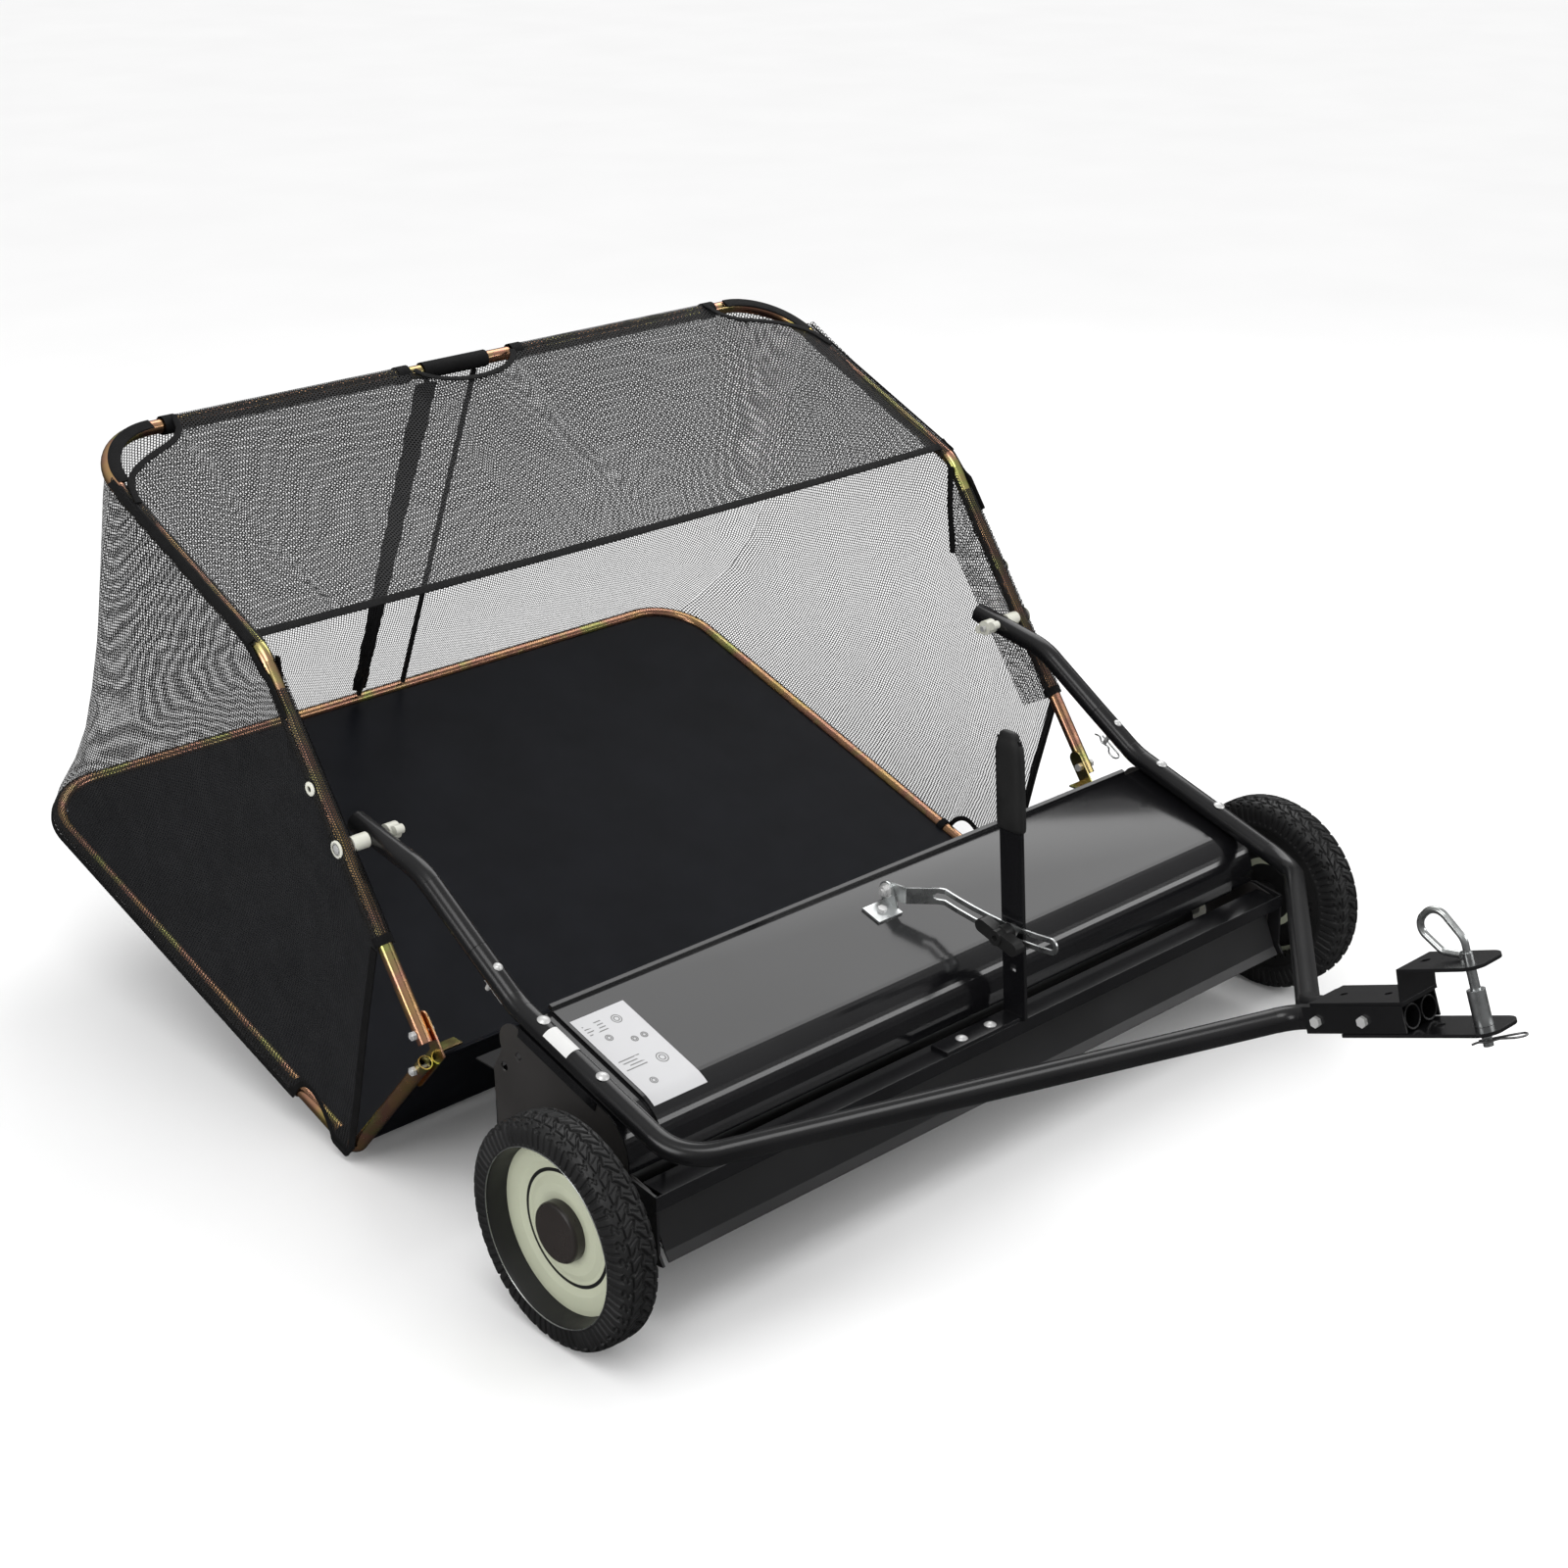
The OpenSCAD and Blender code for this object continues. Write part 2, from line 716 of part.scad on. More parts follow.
module lever_grip() {
    half = lever_w / 2 + 3;
    from = lever_top - 122;
    color("#0d0d0e") difference() {
        union() {
            lever_section(lever_x - 5, lever_x + foot_t + 5, from, lever_top - 8, half);
            slab(lever_x - 5, lever_x + foot_t + 5)
                translate(lever_centre(lever_top - 8) - [half - 8, 0]) square([2 * half - 16, 8]);
        }
        lever_section(lever_x, lever_x + foot_t, from - 10, lever_top - 4, lever_w / 2);
    }
}

module lever_bolts() {
    grip = bar_top + foot_t - bar_bottom;
    color("#e0e1e3") for (x = foot_bolt_x) translate([x, foot_y, bar_top + foot_t]) {
        carriage_bolt(grip, 3, 8, 5);
        translate([0, 0, -grip - 5]) nut(6.3, 3, 5);
    }
}

module lock_bolt() {
    color("#cfd1d4") {
        round_x(10, lever_x + foot_t, lock, lock_r);
        dome_x(lever_x + foot_t, lock, 9, 4);
        difference() {
            round_x(strap_x + strap_t + 0.4, lever_x - 0.1, lock, 9);
            round_x(0, lever_x, lock, lock_r);
        }
    }
}

module lock_knob() {
    face = strap_x - 1.6;
    color("#111112") difference() {
        union() {
            round_x(face - 14, face, lock, 12);
            round_x(face - 26, face - 14, lock, 10);
            slab(face - 24, face - 8) translate(lock) rotate(16) band([[-27, 0], [27, 0]], 9);
        }
        round_x(0, 60, lock, lock_r + running);
    }
}

// ---- wheels ----

// Involute flank points of a gear, from the base or root radius out to its tip
function involute(base, t) = base * [cos(t) + t * PI / 180 * sin(t), sin(t) - t * PI / 180 * cos(t)];
function roll_at(base, r) = sqrt(max(0, r * r / (base * base) - 1)) * 180 / PI;
function polar(r, a) = r * [cos(a), sin(a)];

// Gear outline: half_tooth is half the tooth's angle at the pitch circle
function gear_points(teeth, tip, root, half_tooth, steps = 4) =
    let (pitch = gear_module * teeth / 2, base = pitch * cos(20),
        start = max(base, root), in_roll = roll_at(base, start), out_roll = roll_at(base, tip),
        pitch_pt = involute(base, roll_at(base, pitch)),
        skew = atan2(pitch_pt[1], pitch_pt[0]) + half_tooth,
        flank = [for (i = [0 : steps]) involute(base, in_roll + (out_roll - in_roll) * i / steps)],
        up = [for (p = flank) polar(norm(p), atan2(p[1], p[0]) - skew)],
        down = [for (i = [steps : -1 : 0]) [up[i][0], -up[i][1]]],
        foot = atan2(up[0][1], up[0][0]),
        tooth = concat([polar(root, foot)], up, down, [polar(root, -foot)]))
    [for (k = [0 : teeth - 1]) for (p = tooth) turned(p, k * 360 / teeth)];

backlash = 0.35;
ring_half = 90 / ring_teeth + backlash / (ring_teeth * gear_module / 2) * 180 / PI;
pinion_half = 90 / pinion_teeth - backlash / (pinion_teeth * gear_module / 2) * 180 / PI;
ring_pitch = gear_module * ring_teeth / 2;
pinion_pitch = gear_module * pinion_teeth / 2;
// Direction from the axle to the brush shaft
mesh_angle = -atan2(shaft_drop, shaft[0]);

module ring_gear_hole() {
    rotate(mesh_angle) polygon(
        gear_points(ring_teeth, ring_pitch + 1.25 * gear_module, ring_pitch - 0.8 * gear_module,
            ring_half));
}

// Wheel disc: a barrel with the ring gear inside it, a dished web and a hub
module wheel_disc() {
    barrel_r = 103.95;
    web_t = 3.6;
    web = [[97, 28.5], [82, 27.5], [73, 23.8], [64, 24.2], [56, 27], [46, 28], [38, 27.2], [7, 27.2]];
    difference() {
        union() {
            slab(tyre_x + 2, tyre_x + 22) translate(axle) difference() {
                circle(barrel_r, $fn = 96);
                ring_gear_hole();
            }
            turned_x(tyre_x, axle) {
                polygon(concat([[barrel_r, 21], [barrel_r, 28.5]], web,
                    [for (i = [7 : -1 : 0]) web[i] - [0, web_t]], [[97, 21]]));
                translate([7, 1]) square([9, 32]);
            }
        }
        round_x(tyre_x - 5, tyre_x + 60, axle, shaft_r + running);
    }
}

module tyre() {
    shoulder = 9;
    color("#141414") turned_x(tyre_x, axle) difference() {
        union() {
            translate([104, 0.5]) square([tyre_r - 104 - shoulder, tyre_w - 0.5]);
            translate([104, shoulder]) square([tyre_r - 104, tyre_w - 2 * shoulder]);
            for (a = [shoulder, tyre_w - shoulder]) translate([tyre_r - shoulder, a]) circle(shoulder);
        }
        translate([103, 27.2]) square([5, 60]);
        for (a = [18, 28, 38]) translate([tyre_r - 4, a - 1.5]) square([8, 3]);
    }
}

module hub_cap() {
    color("#2a2523") turned_x(tyre_x + 27.2, axle) difference() {
        union() {
            square([37, 11]);
            translate([0, 11]) square([33, 3.6]);
            translate([33, 11]) circle(3.6);
        }
        translate([-1, -1]) square([25, 12.5]);
        translate([-50, -50]) square([50, 100]);
        translate([-5, -20]) square([60, 20]);
    }
}

module tyre_left() {
    tyre();
}

module tyre_right() {
    mirror([1, 0, 0]) tyre();
}

module wheel_left() {
    color("#c9cbb8") wheel_disc();
}

module wheel_right() {
    color("#c9cbb8") mirror([1, 0, 0]) wheel_disc();
}

module hub_cap_left() {
    hub_cap();
}

module hub_cap_right() {
    mirror([1, 0, 0]) hub_cap();
}

// ---- brush ----

module brush_shaft() {
    color("#8d8f92") round_x(-tyre_x - 18.2, tyre_x + 18.2, shaft, shaft_r);
}

module brush_pinions() {
    // A pinion space faces outwards along the line from the axle when the tooth count is odd
    first = mesh_angle + 180 / pinion_teeth * (pinion_teeth % 2 == 0 ? 1 : 0);
    color("#a9abae") both() difference() {
        union() {
            slab(tyre_x + 4, tyre_x + 18) translate(shaft) rotate(first)
                polygon(gear_points(pinion_teeth, pinion_pitch + 0.8 * gear_module,
                    pinion_pitch - 1.25 * gear_module, pinion_half));
            round_x(tyre_x - 8, tyre_x + 4.1, shaft, 13);
        }
        round_x(tyre_x - 20, tyre_x + 30, shaft, shaft_r);
    }
}

core_r = 20;
brush_half = 530;

module brush_core() {
    color("#3a3a3c") difference() {
        round_x(-brush_half, brush_half, shaft, core_r);
        round_x(-brush_half - 5, brush_half + 5, shaft, shaft_r);
    }
}

// Each section holds four rows of bristles; the left half's rows run a little ahead of the right's
module brush_bristles() {
    pitch = 2 * brush_half / brush_sections;
    gap = 6;
    row_t = 12;
    color("#0c0c0d") for (i = [0 : brush_sections - 1]) for (k = [0 : 3])
        translate([-brush_half + pitch * i + gap / 2, 0, 0]) slab(0, pitch - gap)
            translate(shaft) rotate(90 * k + (i < brush_sections / 2 ? 17 : 30)) difference() {
                translate([core_r - 3, -row_t / 2]) square([brush_r - core_r + 3, row_t]);
                circle(core_r);
            }
}

// ---- hopper ----

// Half a frame from its foot to the centre plane, and the other half
module frame_tube(p, bends, r, wall) {
    both() bent_tube(concat(p, [[0, p[len(p) - 1][1], p[len(p) - 1][2]]]), bends, r, wall);
}

leg_dir = unit(leg_bend - leg_foot);
bracket_bolt = 34; // from the leg's foot down to the bracket's lower bolt

module upper_frame() {
    foot = leg_foot + 16 * leg_dir;
    color("#b98a3c") difference() {
        frame_tube([at_x(frame_x, foot), at_x(frame_x, leg_bend), at_x(frame_x, top_corner)],
            [60, 100], frame_r, 1.5);
        both() round_x(frame_x - 30, frame_x + 30, pivot, pivot_r);
        both() round_x(frame_x - 30, frame_x + 30, leg_foot + 30 * leg_dir, 3.1);
    }
}

module lower_frame() {
    front = leg_foot - 18 * lip_dir;
    color("#b98a3c") difference() {
        frame_tube([at_x(frame_x, front), at_x(frame_x, low_corner),
            at_x(frame_x, rear_corner)], [30, 90], frame_r, 1.5);
        both() round_x(frame_x - 30, frame_x + 30, leg_foot - bracket_bolt * lip_dir, 3.1);
    }
}

module hopper_floor() {
    half = frame_x - frame_r - 0.5;
    from = 14;
    to = rail_len - frame_r - 0.5;
    corner = 80;
    color("#16161c") translate([0, low_corner[0], low_corner[1]]) rotate([rail_slope, 0, 0])
        translate([0, 0, -1.5]) linear_extrude(3) rounded_end(half, from, to, corner);
}

module hopper_lip() {
    half = frame_x - frame_r - 3;
    front = low_corner + 14 * [cos(rail_slope), sin(rail_slope)];
    top = leg_foot - 12 * lip_dir;
    color("#121216") difference() {
        sheet_strip([front - [2.6, 0], low_corner + 16 * lip_dir, top, top + [-9, 3]],
            2, -half, half);
        // Room for the bracket bolts' heads
        both() round_x(half - 7, half + 7, leg_foot - bracket_bolt * lip_dir, 7.5);
    }
}

module corner_brackets() {
    x1 = frame_x - frame_r - 0.1;
    color("#c79a48") both() difference() {
        union() {
            slab(x1 - 2.5, x1)
                band([leg_foot + 44 * leg_dir, leg_foot, leg_foot - 70 * lip_dir], 11);
            // Tab turned inwards above the lip
            translate([x1 - 32, leg_foot[0] - 8, leg_foot[1] + 4]) cube([30, 18, 2.5]);
        }
        round_x(0, 700, leg_foot + 30 * leg_dir, 3.1);
        round_x(0, 700, leg_foot - bracket_bolt * lip_dir, 3.1);
    }
}

module corner_bolts() {
    x1 = frame_x - frame_r - 2.6;
    color("#d9dadc") both() for (p = [leg_foot + 30 * leg_dir, leg_foot - bracket_bolt * lip_dir]) {
        hex_x(x1 - 4, x1, p, 6);
        round_x(x1 - 1, frame_x + frame_r + 7, p, 3);
        difference() {
            hex_x(frame_x + frame_r, frame_x + frame_r + 5, p, 6);
            round_x(frame_x, frame_x + 40, p, 3);
        }
    }
}

rod_x = [-55, 28];
rod_r = 4;

module support_rods() {
    foot = rear_corner + [-9, 11.5];
    head = top_corner + [1, -14];
    color("#222224") for (x = rod_x) straight(at_x(x, foot), at_x(x, head), rod_r, 0);
}

module bag_panel(p, q, x1) {
    // A flat sheet between two cross lines, stopping short of the tubes
    d = unit(q - p);
    slab(-x1, x1) polygon([
        p + bag_gap * d + turned(d, 90) * bag_t / 2, q - bag_gap * d + turned(d, 90) * bag_t / 2,
        q - bag_gap * d - turned(d, 90) * bag_t / 2, p + bag_gap * d - turned(d, 90) * bag_t / 2]);
}

module bag_roof() {
    color("#2c2c30") bag_panel(leg_bend - [6, 3], top_corner, frame_x - bag_gap - 90);
    color("#2c2c30") both() intersection() {
        bag_panel(leg_bend - [6, 3], top_corner - 92 * unit(top_corner - leg_bend),
            frame_x - bag_gap);
        translate([frame_x - bag_gap - 90, 0, 0]) cube([90, 1200, 1000]);
    }
}

module bag_rear() {
    color("#2c2c30") bag_panel(rear_corner + [5, 3], top_corner + [14, 0], frame_x - 110);
}

module bag_side() {
    // Corners of the side sheet, each set in from the tube line beside it
    d_rail = unit(rear_corner - low_corner);
    d_top = unit(top_corner - leg_bend);
    d_back = unit(top_corner - rear_corner);
    in = bag_gap;
    slab(frame_x - bag_t / 2, frame_x + bag_t / 2) polygon([
        low_corner + 16 * d_rail + in * turned(d_rail, 90) - [6, 0],
        rear_corner - 96 * d_rail + in * turned(d_rail, 90),
        rear_corner + 70 * d_back - in * [1, 0] - 34 * d_rail,
        top_corner - 112 * d_back - 10 * d_top,
        top_corner - 104 * d_top - in * turned(d_top, 90),
        leg_bend + 36 * d_top - in * turned(d_top, 90),
        leg_bend - 36 * leg_dir - in * turned(leg_dir, 90),
        leg_foot + 142 * leg_dir - in * turned(leg_dir, 90)]);
}

module bag_side_left() {
    color("#2c2c30") bag_side();
}

module bag_side_right() {
    color("#2c2c30") mirror([1, 0, 0]) bag_side();
}

// ---- dump pivots ----

module pivot_bolts() {
    color("#e6e6e2") both() {
        round_x(tube_x - tube_r - 22, frame_x + frame_r, pivot, pivot_r);
        dome_x(frame_x + frame_r, pivot, 9, 3.4);
    }
}

module pivot_spacers() {
    color("#e9eae4") both() difference() {
        round_x(tube_x + tube_r + 0.2, frame_x - frame_r - 0.2, pivot, 10);
        round_x(0, 700, pivot, pivot_r);
    }
}

// Nylon knob screwed on the pivot bolt's inner end
module pivot_knob() {
    face = tube_x - tube_r - 0.3;
    color("#e9eae4") difference() {
        union() {
            round_x(face - 16, face, pivot, 11);
            slab(face - 15, face - 3) translate(pivot) rotate(-24) band([[-15, 0], [15, 0]], 6);
        }
        round_x(0, 700, pivot, pivot_r + running);
    }
}

module pivot_knob_left() {
    pivot_knob();
}

module pivot_knob_right() {
    mirror([1, 0, 0]) pivot_knob();
}

// ---- hitch pin ----

pin_r = clevis_hole_r - running;

module hitch_pin() {
    color("#c8cacd") hitch_frame() {
        difference() {
            translate([0, pin_at, -38]) cylinder(r = pin_r, h = 38 + ear_top + 7.5);
            translate([0, pin_at, -hairpin_w]) rotate([0, 0, hairpin_turn]) rotate([0, 90, 0])
                translate([0, 0, -20]) cylinder(r = wire_r + 0.1, h = 40);
        }
        bent_tube([[0, pin_at, ear_top + 7.5], [0, pin_at, ear_top + 22], [0, pin_at - 26, ear_top + 62],
            [0, pin_at - 58, ear_top + 40], [0, pin_at - 30, ear_top + 9], [0, pin_at - 8, ear_top + 5]],
            [20, 17, 15, 12], 4);
    }
}

module hitch_hairpin() {
    color("#8e8f92") hitch_frame() translate([0, pin_at, -hairpin_w])
        rotate([0, 0, hairpin_turn]) hairpin(hairpin_len);
}

module hitch_spacer() {
    color("#ced0d3") hitch_frame() difference() {
        translate([0, pin_at, ear_bottom + ear_t + 0.1]) cylinder(r = 10, h = 39);
        translate([0, pin_at, ear_bottom]) cylinder(r = pin_r + 0.08, h = 60);
    }
}

placed() housing_cover();
placed() end_plate_right();
placed() end_plate_left();
placed() rear_apron();
placed() brush_bushings();
placed() draw_tube_right();
placed() draw_tube_left();
placed() lift_arm_right();
placed() lift_arm_left();
placed() clevis_pins();
placed() clevis_hairpins();
placed() tube_bolts();
placed() hitch_bracket();
placed() hitch_ear_upper();
placed() hitch_ear_lower();
placed() hitch_bolts();
placed() strap_foot();
placed() strap_foot_bolt();
placed() quadrant_strap();
placed() strap_pivot_bolt();
placed() front_bar();
placed() front_panel();
placed() wheel_arm_right();
placed() wheel_arm_left();
placed() stub_axles();
placed() axle_clips();
placed() height_lever();
placed() lever_grip();
placed() lever_bolts();
placed() lock_bolt();
placed() lock_knob();
placed() tyre_right();
placed() tyre_left();
placed() wheel_right();
placed() wheel_left();
placed() hub_cap_right();
placed() hub_cap_left();
placed() brush_shaft();
placed() brush_pinions();
placed() brush_core();
placed() brush_bristles();
placed() upper_frame();
placed() lower_frame();
placed() hopper_floor();
placed() hopper_lip();
placed() corner_brackets();
placed() corner_bolts();
placed() support_rods();
placed() bag_roof();
placed() bag_side_right();
placed() bag_side_left();
placed() bag_rear();
placed() pivot_bolts();
placed() pivot_spacers();
placed() pivot_knob_right();
placed() pivot_knob_left();
placed() hitch_pin();
placed() hitch_hairpin();
placed() hitch_spacer();
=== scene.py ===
"""Looks of the tow-behind lawn sweeper: materials, tyres, bristles, mesh bag and small fittings."""

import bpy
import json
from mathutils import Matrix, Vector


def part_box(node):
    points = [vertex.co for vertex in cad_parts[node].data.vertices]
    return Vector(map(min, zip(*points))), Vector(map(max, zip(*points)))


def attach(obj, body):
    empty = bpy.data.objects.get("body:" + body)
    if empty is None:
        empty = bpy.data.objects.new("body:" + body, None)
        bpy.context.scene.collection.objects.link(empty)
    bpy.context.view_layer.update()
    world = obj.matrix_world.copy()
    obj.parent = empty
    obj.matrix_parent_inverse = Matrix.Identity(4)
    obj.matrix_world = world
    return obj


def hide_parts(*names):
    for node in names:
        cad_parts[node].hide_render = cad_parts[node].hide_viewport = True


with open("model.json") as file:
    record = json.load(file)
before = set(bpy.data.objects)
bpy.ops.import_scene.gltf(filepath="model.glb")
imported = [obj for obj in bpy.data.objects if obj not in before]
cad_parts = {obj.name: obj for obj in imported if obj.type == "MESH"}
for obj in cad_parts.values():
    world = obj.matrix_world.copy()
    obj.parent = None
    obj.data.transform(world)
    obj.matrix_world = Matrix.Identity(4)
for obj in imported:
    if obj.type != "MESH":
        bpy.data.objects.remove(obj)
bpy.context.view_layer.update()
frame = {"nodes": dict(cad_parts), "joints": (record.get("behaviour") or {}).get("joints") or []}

import json
import math
import random

import bpy
import numpy as np
from mathutils import Matrix, Vector

rng = random.Random(7)
nprng = np.random.default_rng(7)
NODES = frame["nodes"]
JOINT = {j["name"]: j for j in frame["joints"]}
# Design numbers below are in millimetres from the wheel axle's place along the machine
AXLE_Y = JOINT["right_wheel_spin"]["pos_m"][1]
SHAFT = [v * 1000 for v in JOINT["brush_spin"]["pos_m"]]
SHAFT[1] -= AXLE_Y * 1000
PIVOT = [v * 1000 for v in JOINT["dump"]["pos_m"]]
PIVOT[1] -= AXLE_Y * 1000
LOCK = [v * 1000 for v in JOINT["lock_turn"]["pos_m"]]
LOCK[1] -= AXLE_Y * 1000


def P(x, y, z):
    return np.array([x / 1000, y / 1000 + AXLE_Y, z / 1000])


# ---- materials ----

class Mat:
    """A material being wired up, with short ways to add nodes."""

    def __init__(self, name):
        self.m = bpy.data.materials.new(name)
        self.m.use_nodes = True
        self.t = self.m.node_tree
        self.n = self.t.nodes
        self.b = self.n["Principled BSDF"]
        self.coord = self.n.new("ShaderNodeTexCoord").outputs["Object"]

    def link(self, a, b):
        self.t.links.new(a, b)

    def put(self, socket, value):
        if hasattr(value, "is_linked"):
            self.link(value, socket)
        elif hasattr(value, "__len__") and len(value) == 3 and socket.type == "RGBA":
            socket.default_value = (*value, 1)
        else:
            socket.default_value = value

    def math(self, op, *values):
        n = self.n.new("ShaderNodeMath")
        n.operation = op
        for s, v in zip(n.inputs, values):
            self.put(s, v)
        return n.outputs[0]

    def noise(self, scale, detail=3.0, stretch=None, coord=None):
        n = self.n.new("ShaderNodeTexNoise")
        n.inputs["Scale"].default_value = scale
        n.inputs["Detail"].default_value = detail
        c = coord or self.coord
        if stretch:
            m = self.n.new("ShaderNodeMapping")
            m.inputs["Scale"].default_value = stretch
            self.link(c, m.inputs["Vector"])
            c = m.outputs[0]
        self.link(c, n.inputs["Vector"])
        return n.outputs["Fac"]

    def ramp(self, fac, stops):
        n = self.n.new("ShaderNodeValToRGB")
        e = n.color_ramp.elements
        while len(e) < len(stops):
            e.new(0.5)
        for s, (pos, col) in zip(e, stops):
            s.position = pos
            s.color = (*col, 1)
        self.link(fac, n.inputs["Fac"])
        return n.outputs["Color"]

    def range(self, fac, low, high, lo_in=0.3, hi_in=0.7):
        n = self.n.new("ShaderNodeMapRange")
        for s, v in zip(n.inputs, (fac, lo_in, hi_in, low, high)):
            self.put(s, v)
        return n.outputs[0]

    def bump(self, height, strength, distance=0.001, normal=None):
        n = self.n.new("ShaderNodeBump")
        n.inputs["Strength"].default_value = strength
        n.inputs["Distance"].default_value = distance
        self.link(height, n.inputs["Height"])
        if normal:
            self.link(normal, n.inputs["Normal"])
        return n.outputs[0]

    def soft_edges(self, radius):
        n = self.n.new("ShaderNodeBevel")
        n.samples = 4
        n.inputs["Radius"].default_value = radius
        return n.outputs[0]

    def set(self, **inputs):
        for k, v in inputs.items():
            self.put(self.b.inputs[k.replace("_", " ")], v)
        return self


def painted(name, colour, rough, edge=0.0012, orange=0.05, coat=0.3, specular=0.5):
    m = Mat(name)
    dust = m.noise(9, 6)
    dark = tuple(c * 0.85 for c in colour)
    light = tuple(min(1, c * 1.15 + 0.001) for c in colour)
    peel = m.bump(m.noise(900, 2), orange, 0.0002, m.soft_edges(edge))
    m.set(Base_Color=m.ramp(dust, [(0.35, dark), (0.7, light)]),
          Roughness=m.range(m.noise(24, 5), rough * 0.95, rough * 1.05), Normal=peel)
    m.set(Coat_Weight=coat, Coat_Roughness=rough * 0.7)
    m.b.inputs["Specular IOR Level"].default_value = specular
    return m.m


def plated(name, tints, rough, edge=0.0008, scale=7, stretch=(1, 1, 1), metal=1.0):
    m = Mat(name)
    n = m.noise(scale, 4, stretch)
    stops = [(0.28 + 0.44 * i / max(1, len(tints) - 1), t) for i, t in enumerate(tints)]
    grain = m.bump(m.noise(700, 2, (1, 0.15, 0.15)), 0.08, 0.0004, m.soft_edges(edge))
    m.set(Base_Color=m.ramp(n, stops), Metallic=metal,
          Roughness=m.range(m.noise(60, 3), rough * 0.7, rough * 1.3), Normal=grain)
    return m.m


def plastic(name, colour, rough, sub=0.0, grain=0.1, edge=0.001, spread=0.12):
    m = Mat(name)
    dark = tuple(c * (1 - spread) for c in colour)
    light = tuple(min(1, c * (1 + spread)) for c in colour)
    m.set(Base_Color=m.ramp(m.noise(14, 5), [(0.3, dark), (0.7, light)]),
          Roughness=m.range(m.noise(45, 4), rough * 0.85, rough * 1.15),
          Normal=m.bump(m.noise(1300, 2), grain, 0.0003, m.soft_edges(edge)))
    if sub:
        m.set(Subsurface_Weight=sub)
        m.b.inputs["Subsurface Radius"].default_value = (0.01, 0.01, 0.007)
    return m.m


def mesh_fabric(name, colour, outside, inside, pitch=4.4):
    """An open weave: threads along U and V, millimetres in the UV map, with air between them.

    outside and inside are the threads' widths, as shares of the pitch, seen from either face.
    """
    m = Mat(name)
    uv = m.n.new("ShaderNodeUVMap").outputs[0]
    wob = m.n.new("ShaderNodeTexNoise")
    wob.inputs["Scale"].default_value = 0.02
    m.link(uv, wob.inputs["Vector"])
    sep = m.n.new("ShaderNodeSeparateXYZ")
    m.link(uv, sep.inputs[0])
    back = m.n.new("ShaderNodeNewGeometry").outputs["Backfacing"]
    drift = m.math("MULTIPLY", wob.outputs["Fac"], 6.0)
    along_u = m.math("DIVIDE", m.math("ADD", sep.outputs[0], drift), pitch)
    u = m.math("FRACT", along_u)
    half = m.math("MULTIPLY", m.math("MODULO", m.math("FLOOR", along_u), 2.0), 0.5)
    v = m.math("FRACT", m.math("ADD", m.math("DIVIDE", sep.outputs[1], pitch), half))
    width = [m.range(back, a, b, 0.0, 1.0) for a, b in zip(outside, inside)]
    thread = m.math("MAXIMUM", m.math("LESS_THAN", u, width[0]), m.math("LESS_THAN", v, width[1]))
    lift = m.math("MAXIMUM", m.math("SINE", m.math("MULTIPLY", u, math.pi)),
                  m.math("SINE", m.math("MULTIPLY", v, math.pi)))
    dark = tuple(c * 0.7 for c in colour)
    m.set(Base_Color=m.ramp(m.noise(30, 4), [(0.3, dark), (0.7, colour)]),
          Roughness=0.62, Alpha=thread, Normal=m.bump(lift, 0.5, 0.0006))
    m.b.inputs["Specular IOR Level"].default_value = 0.3
    return m.m


def webbing(name, colour, pitch=2.2):
    m = Mat(name)
    wave = m.math("SINE", m.math("MULTIPLY", m.noise(260, 2, (1, 1, 1)), 40.0))
    m.set(Base_Color=m.ramp(m.noise(60, 4), [(0.3, tuple(c * 0.6 for c in colour)), (0.7, colour)]),
          Roughness=0.75, Normal=m.bump(wave, 0.35, 0.0005))
    m.b.inputs["Specular IOR Level"].default_value = 0.25
    return m.m


